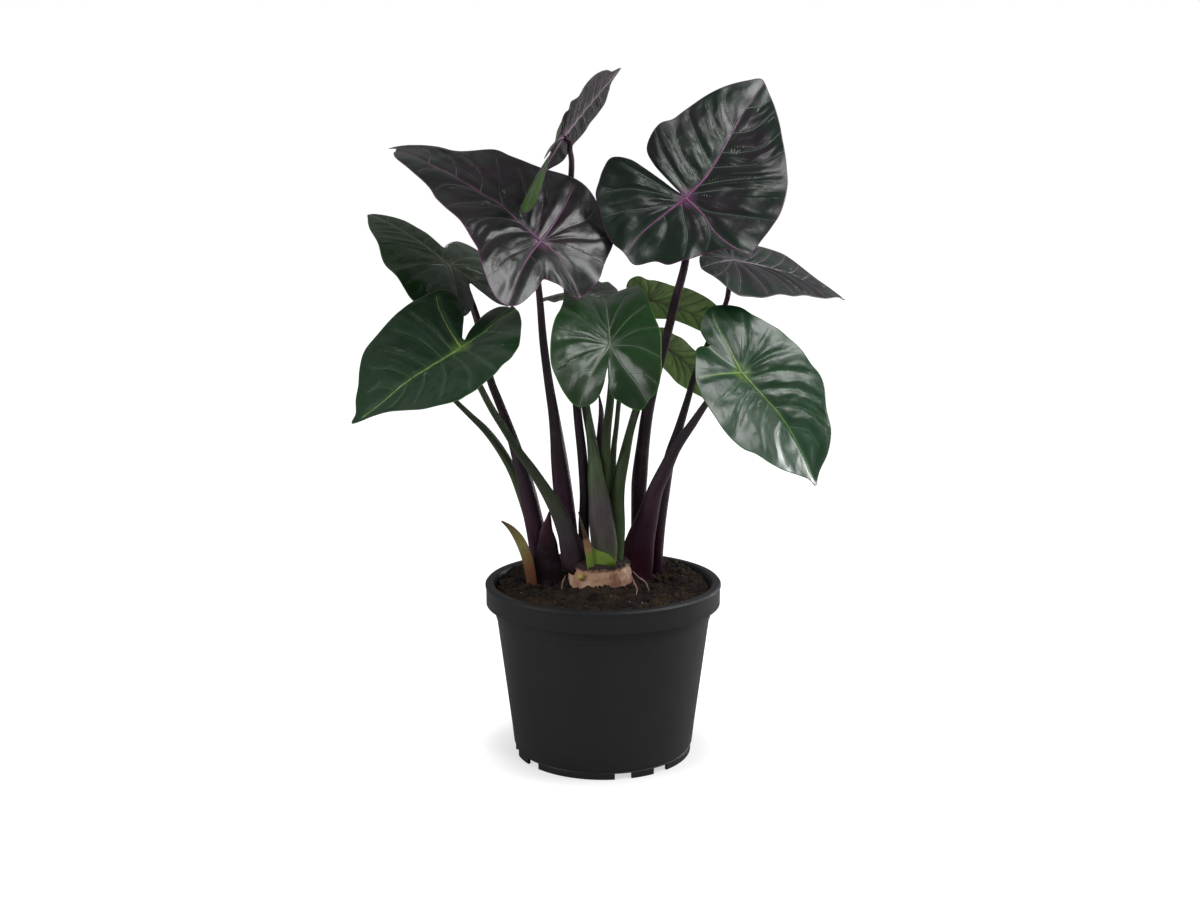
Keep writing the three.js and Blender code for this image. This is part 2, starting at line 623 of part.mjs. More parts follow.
const CORM = { x: -4, y: 20, sides: 20 };
const cormRings = [
  [150, 22],
  [158, 28],
  [166, 32],
  [176, 33],
  [184, 31.5],
  [188, 30],
  [191, 31],
  [195, 28.5],
  [198.5, 22],
];
function corm(clearance = 0) {
  const rings = cormRings.map(([height, radius]) =>
    Array.from({ length: CORM.sides }, (_, k) => {
      const angle = (2 * Math.PI * k) / CORM.sides;
      const lumps = 1 + 0.03 * Math.sin(3 * angle + 1) + 0.02 * Math.sin(5 * angle);
      const reach = radius * lumps + clearance;
      return new THREE.Vector3(CORM.x + reach * Math.cos(angle), CORM.y + reach * Math.sin(angle), height);
    }),
  );
  if (clearance > 0) for (const p of rings[0]) p.z -= clearance;
  return skin(rings);
}
const stubs = [
  { from: [-20, -4, 178], to: [-20, -14, 174], radius: 3.6 },
  { from: [-24, 6, 176], to: [-40, -2, 166], radius: 1.6 },
  { from: [24, 6, 172], to: [40, -2, 164], radius: 1.8 },
];
function stub({ from, to, radius }, clearance = 0) {
  return stem([[...from, radius], [...to, radius * 0.8]], radius, clearance);
}

// What stands in the corm or in the soil cuts its own hole there.

const petioles = leaves.map((leaf) => ({
  name: `${leaf.name}_petiole`,
  route: petioleRoute(leaf),
  depth: PETIOLE_DEPTH,
  colour: leaf.stalk,
}));
const stems = [...petioles, ...sheaths];
const cutters = stems.map(({ route, depth }) => stem(route.slice(0, ROOTED_POINTS), depth, GAP));

function joined(geometry, extras) {
  let body = solid(geometry);
  for (const extra of extras) body = body.add(solid(extra));
  return fromSolid(body);
}
const wholeCorm = joined(corm(), stubs.map((item) => stub(item)));
const cormHole = joined(corm(GAP), stubs.map((item) => stub(item, GAP)));
add('corm', cut(wholeCorm, cutters), 0xb98a66, 0.8);

// Soil: fills the pot to just below the lip, with a gently uneven top.

const soilWall = [
  [FLOOR_RADIUS - 1.3, FLOOR + GAP],
  [FLOOR_RADIUS + 1.7, FOOT_HEIGHT + FLOOR + GAP],
  [87.8, FOOT_HEIGHT + FLOOR + GAP],
  [90.2, 12],
  [91.8, 26.2],
  [106.2, 141.8],
  [108.2, 156],
  [109.4, 166],
];
const soilTop = [96, 80, 64, 48, 32, 16];
function soilHeight(x, y) {
  const swell = Math.sin(x / 17 + 1) * Math.cos(y / 21) + 0.5 * Math.sin((x - y) / 9);
  return SOIL_LEVEL + SOIL_RELIEF * swell;
}
function soil() {
  const ring = (radius, height) =>
    Array.from({ length: SOIL_SIDES }, (_, k) => {
      const angle = (2 * Math.PI * k) / SOIL_SIDES;
      const [x, y] = [radius * Math.cos(angle), radius * Math.sin(angle)];
      return new THREE.Vector3(x, y, height ?? soilHeight(x, y));
    });
  const sides = soilWall.map(([radius, height]) => ring(radius, height));
  return skin([...sides, ...soilTop.map((radius) => ring(radius))]);
}
add('soil', cut(soil(), [cormHole, ...cutters]), 0x2a211c, 0.95);

for (const item of stems) add(item.name, stem(item.route, item.depth), item.colour, 0.5);
for (const leaf of leaves) add(`${leaf.name}_blade`, blade(leaf), leaf.colour, 0.35);

export default plant;
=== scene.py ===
# %% [markdown]
# # A potted regal shields alocasia
# Twelve shield-shaped leaves stand on tall dark stalks, which rise from a ringed corm in a black
# nursery pot. The construction comes from the CAD step as a fixed frame: this script loads it
# and then dresses it piece by piece. Every finished piece sits at the origin with its place in
# its mesh, and stands for the CAD node of the same part.

# %% Load the frame
import json
import math
import bpy
import numpy as np
from mathutils import Matrix, Vector

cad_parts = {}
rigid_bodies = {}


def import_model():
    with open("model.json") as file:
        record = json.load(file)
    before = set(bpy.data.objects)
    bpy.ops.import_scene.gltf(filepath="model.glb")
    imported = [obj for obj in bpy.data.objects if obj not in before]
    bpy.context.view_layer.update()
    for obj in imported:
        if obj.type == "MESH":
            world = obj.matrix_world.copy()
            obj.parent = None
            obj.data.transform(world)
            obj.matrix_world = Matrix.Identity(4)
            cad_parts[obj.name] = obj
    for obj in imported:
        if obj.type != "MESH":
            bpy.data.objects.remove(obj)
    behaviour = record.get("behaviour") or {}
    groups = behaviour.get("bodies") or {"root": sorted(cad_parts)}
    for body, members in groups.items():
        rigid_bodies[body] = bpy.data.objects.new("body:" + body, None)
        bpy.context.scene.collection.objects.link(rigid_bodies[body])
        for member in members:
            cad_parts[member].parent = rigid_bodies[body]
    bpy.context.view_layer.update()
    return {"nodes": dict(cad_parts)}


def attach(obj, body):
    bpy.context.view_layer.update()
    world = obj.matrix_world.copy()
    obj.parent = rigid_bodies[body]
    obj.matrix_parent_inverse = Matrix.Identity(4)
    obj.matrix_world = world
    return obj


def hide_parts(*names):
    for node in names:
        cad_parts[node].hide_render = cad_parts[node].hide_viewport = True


for leftover in list(bpy.data.objects):
    bpy.data.objects.remove(leftover)
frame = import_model()
print("nodes in the frame:", len(frame["nodes"]))

# %% [markdown]
# ## The camera
# The photograph was taken from a little under the height of the leaves, about 1.4 m away. The
# camera stands there, tilted a few degrees down, and moved sideways by 3 mm so that the pot's axis
# falls where it does in the photograph. No lens shift is needed.

# %% Camera
MM = 0.001
CAMERA_PLACE = (-3.2 * MM, -1400 * MM, 552.3 * MM)
CAMERA_PITCH = 9.72  # degrees below the horizon
CAMERA_LENS = 42.38  # millimetres, on a sensor 36 mm wide

camera_data = bpy.data.cameras.new("camera")
camera_data.lens = CAMERA_LENS
camera_data.sensor_width = 36
camera = bpy.data.objects.new("camera", camera_data)
camera.location = CAMERA_PLACE
camera.rotation_euler = (math.radians(90 - CAMERA_PITCH), 0, 0)
bpy.context.scene.collection.objects.link(camera)
bpy.context.scene.camera = camera
print("camera at", [round(x, 3) for x in camera.location])

# %% [markdown]
# ## Shader sums as plain expressions
# A material is a graph of nodes. Written node by node it is hard to read, so one small class wraps
# a node's output: arithmetic on it adds Math nodes, and its node method adds any other node.

# %% A wire that can be added and multiplied
class Wire:
    """One output of a node. Arithmetic adds Math nodes; node() adds any other node."""

    def __init__(self, tree, socket=None):
        self.tree = tree
        self.socket = socket

    def node(self, kind, settings=None, inputs=None, output=0):
        made = self.tree.nodes.new(kind)
        for name, value in (settings or {}).items():
            if name == "stops":
                self.set_stops(made.color_ramp, value)
            else:
                setattr(made, name, value)
        for name, value in (inputs or {}).items():
            if isinstance(value, Wire):
                self.tree.links.new(value.socket, made.inputs[name])
            else:
                made.inputs[name].default_value = value
        return Wire(self.tree, made.outputs[output])

    @staticmethod
    def set_stops(ramp, stops):
        while len(ramp.elements) < len(stops):
            ramp.elements.new(1)
        for element, (place, colour) in zip(ramp.elements, stops):
            element.position = place
            element.color = colour

    def maths(self, operation, *values):
        inputs = dict(enumerate(values))
        return self.node("ShaderNodeMath", {"operation": operation}, inputs)

    def clamped(self):
        return self.node("ShaderNodeClamp", None, {"Value": self})

    def __add__(self, other):
        return self.maths("ADD", self, other)

    def __sub__(self, other):
        return self.maths("SUBTRACT", self, other)

    def __rsub__(self, other):
        return self.maths("SUBTRACT", other, self)

    def __mul__(self, other):
        return self.maths("MULTIPLY", self, other)

    __radd__ = __add__
    __rmul__ = __mul__


print("operators:", "+ - *")

# %% [markdown]
# ## Colours and a first material
# Colours are given as the usual hexadecimal codes, which are brighter than the linear
# values that a renderer adds and multiplies, so one function converts them. Another starts a
# material and returns a wire to build on, and a third connects the finished wires.

# %% Colours, mixing and materials
def linear(code):
    """The linear colour of a hexadecimal code such as 0x4d5a4c."""
    parts = [(code >> shift & 255) / 255 for shift in (16, 8, 0)]
    bright = [c / 12.92 if c <= 0.04045 else ((c + 0.055) / 1.055) ** 2.4 for c in parts]
    return (*bright, 1)


def mix(share, first, second):
    """Goes from the first colour to the second one as share goes from 0 to 1."""
    inputs = {0: share, 6: first, 7: second}
    return share.node("ShaderNodeMix", {"data_type": "RGBA"}, inputs, output=2)


def attribute(wire, name, output=2):
    """What the mesh stores at each point under that name: 2 for a number, 1 for a vector."""
    return wire.node("ShaderNodeAttribute", {"attribute_name": name}, None, output)


def place_on(wire):
    """The point's own place on the object, in metres."""
    return wire.node("ShaderNodeTexCoord", None, None, "Object")


def noise(wire, place, scale, detail=3, roughness=0.5):
    inputs = {"Vector": place, "Scale": scale, "Detail": detail, "Roughness": roughness}
    return wire.node("ShaderNodeTexNoise", None, inputs)


def smooth(value, low, high):
    """0 below low, 1 above high, and a soft step between; low may be the larger number."""
    inputs = {"Value": value, "From Min": low, "From Max": high}
    return value.node("ShaderNodeMapRange", {"interpolation_type": "SMOOTHSTEP"}, inputs)


def start_material(name):
    material = bpy.data.materials.new(name)
    material.use_nodes = True
    return material, Wire(material.node_tree)


def finish_material(material, constants, **wires):
    """Sets the shader's constants, then connects wires such as Base_Color and Normal."""
    shader = material.node_tree.nodes["Principled BSDF"]
    for name, value in constants.items():
        shader.inputs[name].default_value = value
    for name, wire in wires.items():
        material.node_tree.links.new(wire.socket, shader.inputs[name.replace("_", " ")])
    return material


def bump(wire, height, depth, below=None):
    """A Bump node: height is a wire from 0 to 1, depth what it stands for in metres."""
    inputs = {"Height": height, "Distance": depth}
    if below:
        inputs["Normal"] = below
    return wire.node("ShaderNodeBump", None, inputs)


print("black plastic is", [round(c, 4) for c in linear(0x26272A)])

# %% [markdown]
# ## Making meshes
# Leaves, stalks and the pot are all surfaces swept out by rows of points. One function joins such
# rows with four-sided faces, and another makes the object, smooths its shading and lets it ride on
# the part's one body.

# %% Mesh helpers
def make_object(name, points, faces, materials, slots=None, numbers=None):
    """points in metres; slots is a material index for each face; numbers go to each point."""
    mesh = bpy.data.meshes.new(name)
    mesh.from_pydata([tuple(p) for p in points], [], [tuple(f) for f in faces])
    for material in materials:
        mesh.materials.append(material)
    if slots is not None:
        mesh.polygons.foreach_set("material_index", slots)
    for label, values in (numbers or {}).items():
        kind, field = ("FLOAT", "value") if values.ndim == 1 else ("FLOAT_VECTOR", "vector")
        layer = mesh.attributes.new(label, kind, "POINT")
        layer.data.foreach_set(field, np.asarray(values, np.float32).ravel())
    mesh.shade_smooth()
    mesh.update()
    made = bpy.data.objects.new(name, mesh)
    bpy.context.scene.collection.objects.link(made)
    return made


def rows_to_faces(rows, columns, closed=True, start=0):
    """Four-sided faces between neighbouring rows of a grid of points."""
    around = columns if closed else columns - 1
    row, column = np.meshgrid(np.arange(rows - 1), np.arange(around), indexing="ij")
    a = start + row * columns + column
    b = start + row * columns + (column + 1) % columns
    return np.stack([a, b, b + columns, a + columns], axis=-1).reshape(-1, 4).tolist()


def capped(rows, sides):
    """Faces of a closed tube; a centre point for each end follows the points of its rows."""
    centre, last = rows * sides, (rows - 1) * sides
    faces = rows_to_faces(rows, sides)
    faces += [[centre, (i + 1) % sides, i] for i in range(sides)]
    faces += [[centre + 1, last + i, last + (i + 1) % sides] for i in range(sides)]
    return faces


def settle(piece, slot, *nodes):
    """The piece takes the place of the CAD nodes and rides on the part's only body."""
    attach(piece, "root")
    if nodes:
        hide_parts(*nodes)
    return piece


def join(pieces, name):
    """Several objects made one."""
    bpy.ops.object.select_all(action="DESELECT")
    for piece in pieces:
        piece.select_set(True)
    bpy.context.view_layer.objects.active = pieces[0]
    bpy.ops.object.join()
    pieces[0].name = name
    return pieces[0]


def smooth_curve(points, spacing, closed):
    """A centripetal Catmull-Rom curve through the points, with samples about spacing apart.

    It is the curve that the CAD part uses, so the fine pieces lie on the coarse ones."""
    points = np.asarray(points, float)
    count = len(points)
    if closed:
        padded = np.vstack([points[-1:], points, points[:2]])
        spans = count
    else:
        first = 2 * points[0] - points[1]
        last = 2 * points[-1] - points[-2]
        padded = np.vstack([first, points, last])
        spans = count - 1
    samples = []
    for i in range(spans):
        p0, p1, p2, p3 = padded[i : i + 4]
        d0, d1, d2 = [max(np.linalg.norm(b[:3] - a[:3]), 1e-6) ** 0.5
                      for a, b in ((p0, p1), (p1, p2), (p2, p3))]
        m1 = ((p1 - p0) / d0 - (p2 - p0) / (d0 + d1) + (p2 - p1) / d1) * d1
        m2 = ((p2 - p1) / d1 - (p3 - p1) / (d1 + d2) + (p3 - p2) / d2) * d1
        steps = max(1, round(float(np.linalg.norm((p2 - p1)[:3])) / spacing))
        t = (np.arange(steps) / steps)[:, None]
        samples.append((2 * t**3 - 3 * t**2 + 1) * p1 + (t**3 - 2 * t**2 + t) * m1
                       + (3 * t**2 - 2 * t**3) * p2 + (t**3 - t**2) * m2)
    if not closed:
        samples.append(points[-1:])
    return np.vstack(samples)


square = smooth_curve([(0, 0), (1, 0), (1, 1), (0, 1)], 0.2, True)
print("a square as a smooth curve has", len(square), "points")

# %% [markdown]
# ## The leaves as numbers
# No two leaves are alike, so each has a row: where the stalk meets the blade, how the blade is
# turned and bent, its flat outline as angles and reaches from that point, and the stalk's route
# with its radius. Those are the CAD part's rows, in millimetres and degrees. The five leaves that
# show best also have their veins here: a rank, a side and a line of angles and reaches.

# %% The table of leaves
LEAVES = [
    dict(
        number="01", attach=(-39, -45, 618), length=142,
        heading=64, pitch=31, roll=-60, twist=-10, fold=(10, 5),
        curl=12, droop=1, lobes=(25, 10), wave=1.5, waves=7,
        outline=[
            (-178, 27), (-172, 50), (-165, 61), (-155, 65), (-140, 61), (-122, 49), (-105, 39),
            (-85, 34), (-62, 35), (-45, 41), (-34, 49), (-22, 68), (-14, 90), (-7, 112), (-3, 123),
            (0, 143), (3, 122), (8, 121), (13, 121), (18, 106), (22, 92), (27, 87), (32, 77), (38, 65),
            (46, 57), (60, 51), (75, 47), (90, 46), (105, 53), (122, 67), (140, 79), (155, 83),
            (165, 75), (174, 52),
        ],
        petiole=[
            (-18, 24, 188, 5.2), (-20, 24, 225, 5.6), (-19, 24, 260, 5.2), (-21, 24, 298, 5.1),
            (-26, 26, 345, 4.4), (-31, 34, 412, 4), (-35, 39, 462, 3.8), (-36, 38, 521, 3.4),
            (-34, 36, 560, 3.1), (-32, 30, 582, 3), (-31, 10, 597, 2.8), (-32, -20, 607, 2.6),
        ],
    ),
    dict(
        number="02", attach=(-59, -60, 522), length=195,
        heading=160, pitch=50, roll=-25, twist=0, fold=(7, 7),
        curl=7, droop=50, lobes=(30, 25), wave=2.5, waves=9,
        outline=[
            (-176, 65), (-159, 66), (-140, 69), (-126, 74), (-110, 84), (-93, 91), (-73, 97), (-56, 102),
            (-37, 103), (-30, 111), (-25, 127), (-12, 149), (-10, 173), (-8, 201), (-6, 236), (-4, 214),
            (-1, 203), (4, 188), (11, 168), (18, 142), (28, 114), (39, 104), (47, 96), (56, 83),
            (66, 77), (76, 77), (89, 87), (102, 94), (112, 97), (120, 90), (130, 64), (146, 42),
            (159, 45), (171, 54),
        ],
        veins=[
            (0, 0, [(0, 0), (13, 26), (8, 51), (10, 72), (9, 103), (6, 146), (-1, 202)]),
            (1, 1, [(9, 99), (8, 122), (13, 131), (18, 134)]),
            (1, 1, [(10, 65), (15, 87), (21, 103), (31, 110)]),
            (1, 1, [(9, 45), (23, 65), (36, 83), (47, 96)]),
            (1, 1, [(13, 26), (34, 45), (52, 65), (66, 76)]),
            (1, 1, [(18, 13), (54, 32), (71, 58), (82, 79)]),
            (1, 1, [(0, 0), (93, 33), (93, 62), (98, 91)]),
            (0, 1, [(0, 0), (109, 26), (112, 55), (116, 93)]),
            (2, 1, [(110, 27), (129, 33), (129, 50)]),
            (1, -1, [(7, 138), (-3, 159), (-6, 181)]),
            (1, -1, [(9, 103), (-2, 122), (-7, 149)]),
            (1, -1, [(10, 74), (-5, 90), (-9, 111), (-11, 130)]),
            (1, -1, [(9, 48), (-6, 66), (-18, 92), (-23, 116)]),
            (1, -1, [(14, 21), (-21, 37), (-29, 61), (-31, 94)]),
            (1, -1, [(11, 8), (-40, 26), (-46, 51), (-44, 88)]),
            (0, -1, [(0, 0), (-71, 25), (-69, 54), (-67, 88)]),
            (1, -1, [(0, 0), (-90, 34), (-91, 66), (-86, 89)]),
            (1, -1, [(0, 0), (-108, 32), (-111, 61), (-109, 82)]),
            (2, -1, [(-157, 16), (-136, 36), (-130, 65)]),
            (0, -1, [(0, 0), (-158, 18), (-169, 41), (-174, 64)]),
        ],
        petiole=[
            (-30, 30, 178, 7), (-34, 30, 196, 9.5), (-37, 30, 223, 10.3), (-40, 30, 250, 10.3),
            (-45, 28, 297, 8.7), (-47, 25, 318, 7.2), (-50, 19, 345, 5.6), (-55, 8, 382, 4.5),
            (-59, -10, 422, 4), (-61, -32, 462, 3.4), (-63, -49, 496, 3),
        ],
    ),
    dict(
        number="03", attach=(80, -5, 562), length=150,
        heading=25, pitch=48, roll=60, twist=0, fold=(10, 10),
        curl=10, droop=15, lobes=(0, 0), wave=2, waves=9,
        outline=[
            (-179, 85), (-167, 71), (-157, 71), (-147, 66), (-137, 63), (-130, 61), (-118, 62),
            (-108, 66), (-102, 74), (-99, 88), (-96, 86), (-84, 85), (-74, 88), (-63, 93), (-45, 101),
            (-34, 105), (-20, 115), (-11, 128), (-3, 142), (2, 150), (6, 156), (11, 143), (20, 122),
            (27, 108), (38, 90), (47, 80), (56, 78), (66, 71), (76, 61), (81, 45), (83, 22), (88, 6),
            (95, 22), (93, 50), (94, 66), (100, 82), (109, 85), (118, 86), (127, 88), (138, 86),
            (146, 86), (159, 86), (170, 83),
        ],
        veins=[
            (0, 0, [(0, 0), (-5, 31), (2, 70), (5, 112), (5, 155)]),
            (1, 1, [(4, 91), (14, 103), (18, 122)]),
            (1, 1, [(3, 68), (18, 83), (25, 104)]),
            (1, 1, [(0, 42), (22, 56), (34, 80), (36, 88)]),
            (1, 1, [(-1, 23), (40, 41), (48, 70), (49, 78)]),
            (1, 1, [(-6, 6), (60, 25), (64, 50), (62, 73)]),
            (1, 1, [(115, 5), (102, 30), (100, 55), (100, 72)]),
            (1, 1, [(150, 5), (120, 30), (120, 55), (125, 78)]),
            (1, 1, [(164, 12), (145, 38), (142, 63), (143, 83)]),
            (0, 1, [(0, 0), (166, 30), (168, 60), (172, 80)]),
            (1, -1, [(5, 116), (0, 130), (-1, 144)]),
            (1, -1, [(3, 84), (-5, 101), (-6, 136)]),
            (1, -1, [(1, 60), (-12, 74), (-18, 95), (-16, 119)]),
            (1, -1, [(0, 40), (-19, 59), (-27, 82), (-26, 109)]),
            (1, -1, [(-10, 19), (-30, 46), (-37, 76), (-38, 102)]),
            (1, -1, [(-22, 8), (-40, 33), (-45, 67), (-48, 98)]),
            (1, -1, [(0, 0), (-88, 24), (-74, 54), (-69, 90)]),
            (0, -1, [(0, 0), (-99, 24), (-105, 47), (-101, 70), (-96, 84)]),
            (2, -1, [(-101, 30), (-112, 45), (-123, 57)]),
            (1, -1, [(-178, 8), (-147, 22), (-141, 42), (-146, 62)]),
            (2, -1, [(166, 28), (-174, 37), (-172, 57)]),
        ],
        petiole=[
            (34, 53, 150, 6), (35, 53, 185, 6.2), (36, 52, 222, 6.6), (37, 52, 250, 7.6),
            (38, 51, 272, 8.2), (42, 46, 315, 6.7), (46, 40, 347, 6.2), (55, 29, 390, 5.1),
            (63, 21, 421, 4.5), (72, 11, 462, 4.4), (81, 5, 500, 3.8), (84, 7, 535, 3.2),
        ],
    ),
    dict(
        number="04", attach=(-157, 50, 495), length=135,
        heading=140, pitch=32, roll=-2, twist=0, fold=(2, 2),
        curl=20, droop=18, lobes=(14, 17), wave=2, waves=7,
        outline=[
            (-174, 32), (-170, 44), (-162, 65), (-142, 77), (-118, 85), (-92, 95), (-72, 106),
            (-57, 113), (-49, 96), (-42, 62), (-33, 43), (-24, 52), (-19, 66), (-14, 80), (-11, 98),
            (-7, 111), (-3, 122), (1, 130), (8, 116), (16, 102), (24, 91), (34, 81), (44, 74), (61, 69),
            (78, 68), (93, 69), (106, 73), (118, 79), (135, 83), (154, 80), (164, 68), (173, 54),
            (179, 38),
        ],
        petiole=[
            (-63, 31, 150, 8.6), (-65, 31, 180, 9.2), (-69, 30, 218, 10), (-74, 30, 244, 9.6),
            (-79, 30, 268, 8.6), (-92, 31, 316, 5.8), (-99, 32, 337, 4.7), (-108, 34, 360, 4.4),
            (-115, 37, 378, 4.1), (-122, 41, 411, 4), (-130, 47, 444, 3.8), (-141, 52, 470, 3.3),
        ],
    ),
    dict(
        number="05", attach=(-133, -80, 424), length=150,
        heading=232, pitch=-26, roll=-17, twist=0, fold=(17, 17),
        curl=6, droop=-9, lobes=(0, 5), wave=1.5, waves=7,
        outline=[
            (-178, 79), (-172, 75), (-167, 63), (-163, 47), (-160, 31), (-152, 12), (-142, 14),
            (-142, 28), (-145, 40), (-143, 50), (-139, 66), (-134, 78), (-127, 81), (-115, 78),
            (-104, 76), (-88, 72), (-64, 77), (-49, 85), (-38, 93), (-25, 104), (-17, 113), (-10, 126),
            (-4, 138), (-1, 150), (2, 131), (6, 122), (14, 120), (22, 119), (28, 113), (38, 104),
            (42, 97), (48, 90), (56, 81), (64, 76), (73, 69), (84, 65), (95, 61), (106, 60), (120, 58),
            (138, 59), (154, 65), (169, 73),
        ],
        veins=[
            (0, 0, [(0, 0), (-8, 31), (-6, 73), (-2, 112), (-1, 138)]),
            (1, 1, [(-5, 71), (2, 90), (5, 114)]),
            (1, 1, [(-7, 48), (9, 70), (16, 107)]),
            (1, 1, [(-6, 28), (23, 53), (28, 100)]),
            (1, 1, [(-7, 13), (47, 49), (44, 91)]),
            (1, 1, [(0, 0), (69, 41), (66, 74)]),
            (2, 1, [(173, 30), (147, 38), (129, 51)]),
            (0, 1, [(0, 0), (173, 30), (175, 56), (172, 74)]),
            (1, -1, [(-4, 88), (-11, 97), (-11, 111)]),
            (1, -1, [(-6, 64), (-21, 75), (-25, 92)]),
            (1, -1, [(-8, 43), (-34, 58), (-41, 79)]),
            (1, -1, [(-10, 24), (-59, 38), (-67, 66)]),
            (1, -1, [(-9, 10), (-87, 30), (-94, 64)]),
            (0, -1, [(0, 0), (-116, 28), (-119, 55), (-122, 73)]),
        ],
        petiole=[
            (-26, 8, 184, 7), (-29, 8, 192, 12), (-30, 8, 204, 13.6), (-36, 6, 223, 10.2),
            (-44, 4, 245, 8.6), (-58, 0, 271, 6.1), (-71, -6, 293, 5), (-85, -15, 315, 4.2),
            (-97, -28, 338, 3.8), (-108, -43, 360, 3.4), (-117, -58, 382, 3.2), (-126, -70, 404, 2.9),
        ],
    ),
    dict(
        number="06", attach=(6, -70, 425), length=150,
        heading=97, pitch=50, roll=0, twist=0, fold=(25, 25),
        curl=10, droop=80, lobes=(30, 30), wave=1.5, waves=7,
        outline=[
            (-173, 59), (-166, 66), (-158, 72), (-149, 68), (-140, 66), (-127, 59), (-113, 53),
            (-92, 50), (-72, 50), (-51, 58), (-35, 74), (-22, 98), (-10, 128), (0, 150), (10, 128),
            (24, 96), (39, 68), (60, 57), (76, 58), (92, 61), (115, 69), (126, 71), (136, 73), (148, 74),
            (157, 67), (163, 58), (167, 44), (170, 26), (173, 38), (178, 52),
        ],
        veins=[
            (0, 0, [(0, 0), (-3, 19), (-3, 47), (-4, 99)]),
            (1, 1, [(-2, 17), (13, 34), (11, 73)]),
            (1, 1, [(-10, 7), (48, 25), (49, 47)]),
            (1, 1, [(0, 0), (85, 23), (93, 52)]),
            (1, 1, [(0, 0), (114, 30), (115, 62)]),
            (2, 1, [(146, 34), (133, 49), (132, 66)]),
            (0, 1, [(0, 0), (145, 26), (147, 52), (150, 71)]),
            (1, -1, [(-5, 19), (-16, 44), (-22, 70)]),
            (1, -1, [(-19, 7), (-39, 31), (-47, 55)]),
            (1, -1, [(0, 0), (-71, 29), (-82, 49)]),
            (1, -1, [(0, 0), (-106, 28), (-114, 52)]),
            (2, -1, [(-153, 35), (-139, 48), (-137, 63)]),
            (0, -1, [(0, 0), (-154, 29), (-151, 52), (-151, 69)]),
        ],
        petiole=[
            (2, 24, 188, 4.6), (4, 24, 235, 4.6), (4, 22, 267, 4.6), (3, 14, 310, 4.6), (4, 4, 334, 4.4),
            (7, -18, 366, 3.9), (8, -43, 394, 3.3),
        ],
    ),
    dict(
        number="07", attach=(130, 35, 501), length=142,
        heading=19, pitch=-8, roll=24, twist=0, fold=(6, 6),
        curl=17, droop=20, lobes=(10, 10), wave=2, waves=7,
        outline=[
            (-175, 36), (-163, 42), (-149, 48), (-130, 58), (-118, 67), (-110, 73), (-103, 75),
            (-93, 72), (-82, 74), (-64, 72), (-50, 75), (-37, 81), (-31, 92), (-25, 103), (-10, 123),
            (-2, 139), (4, 129), (10, 114), (18, 103), (31, 91), (38, 81), (47, 78), (65, 74), (85, 72),
            (105, 70), (125, 66), (145, 60), (165, 45), (180, 24),
        ],
        petiole=[
            (56, 51, 150, 5.6), (57, 51, 185, 6), (59, 51, 222, 6.6), (63, 50, 258, 6.8),
            (70, 49, 299, 5.7), (78, 48, 325, 4.7), (87, 45, 357, 3.6), (95, 43, 386, 3),
            (112, 40, 428, 2.7), (126, 39, 462, 2.7),
        ],
    ),
    dict(
        number="08", attach=(133, -45, 396), length=151,
        heading=359, pitch=-43, roll=44, twist=0, fold=(15, 15),
        curl=12, droop=34, lobes=(16, 0), wave=1.5, waves=7,
        outline=[
            (-166, 48), (-153, 55), (-140, 58), (-119, 65), (-102, 72), (-89, 77), (-78, 82), (-62, 87),
            (-52, 88), (-42, 94), (-32, 100), (-15, 114), (-6, 129), (-2, 143), (4, 134), (12, 129),
            (22, 121), (30, 109), (43, 102), (49, 95), (55, 85), (66, 78), (77, 73), (87, 71), (101, 66),
            (114, 65), (124, 70), (138, 73), (150, 72), (161, 65), (172, 57), (183, 40),
        ],
        veins=[
            (0, 0, [(0, 0), (-2, 27), (1, 57), (-1, 97), (-2, 134)]),
            (1, 1, [(1, 73), (11, 95), (10, 114)]),
            (1, 1, [(-1, 47), (20, 72), (24, 108)]),
            (1, 1, [(1, 27), (32, 56), (34, 105)]),
            (1, 1, [(8, 10), (50, 44), (47, 96)]),
            (1, 1, [(0, 0), (74, 40), (67, 77)]),
            (1, 1, [(0, 0), (95, 35), (91, 65)]),
            (1, 1, [(0, 0), (115, 32), (123, 62)]),
            (0, 1, [(0, 0), (153, 28), (152, 55), (150, 65)]),
            (1, -1, [(-1, 63), (-22, 77), (-24, 98)]),
            (1, -1, [(-2, 40), (-41, 59), (-45, 87)]),
            (1, -1, [(1, 20), (-66, 44), (-68, 75)]),
            (1, -1, [(-2, 6), (-88, 40), (-92, 66)]),
            (0, -1, [(0, 0), (-123, 32), (-121, 59)]),
            (1, -1, [(0, 0), (-166, 23), (-171, 42)]),
        ],
        petiole=[
            (34, 35, 150, 15), (35, 35, 178, 17), (36, 35, 196, 17), (39, 34, 212, 15),
            (45, 32, 233, 11.9), (54, 27, 266, 8.2), (63, 20, 288, 7.2), (73, 10, 312, 5.6),
            (90, -8, 342, 4.2), (101, -21, 362, 3.3), (113, -32, 381, 2.8),
        ],
    ),
    dict(
        number="09", attach=(45, 75, 460), length=104,
        heading=5, pitch=-14, roll=-38, twist=0, fold=(6, 6),
        curl=12, droop=20, lobes=(10, 10), wave=1.2, waves=7,
        outline=[
            (-176, 14), (-165, 22), (-152, 28), (-135, 34), (-118, 35), (-102, 31), (-90, 33), (-70, 32),
            (-57, 36), (-46, 50), (-36, 59), (-27, 67), (-18, 76), (-9, 90), (0, 106), (9, 90), (18, 76),
            (26, 57), (36, 45), (50, 38), (70, 34), (92, 33), (115, 33), (138, 35), (155, 32), (168, 24),
        ],
        petiole=[
            (8, 37, 188, 3.8), (8, 38, 232, 3.6), (10, 40, 274, 3.4), (11, 44, 305, 3.1),
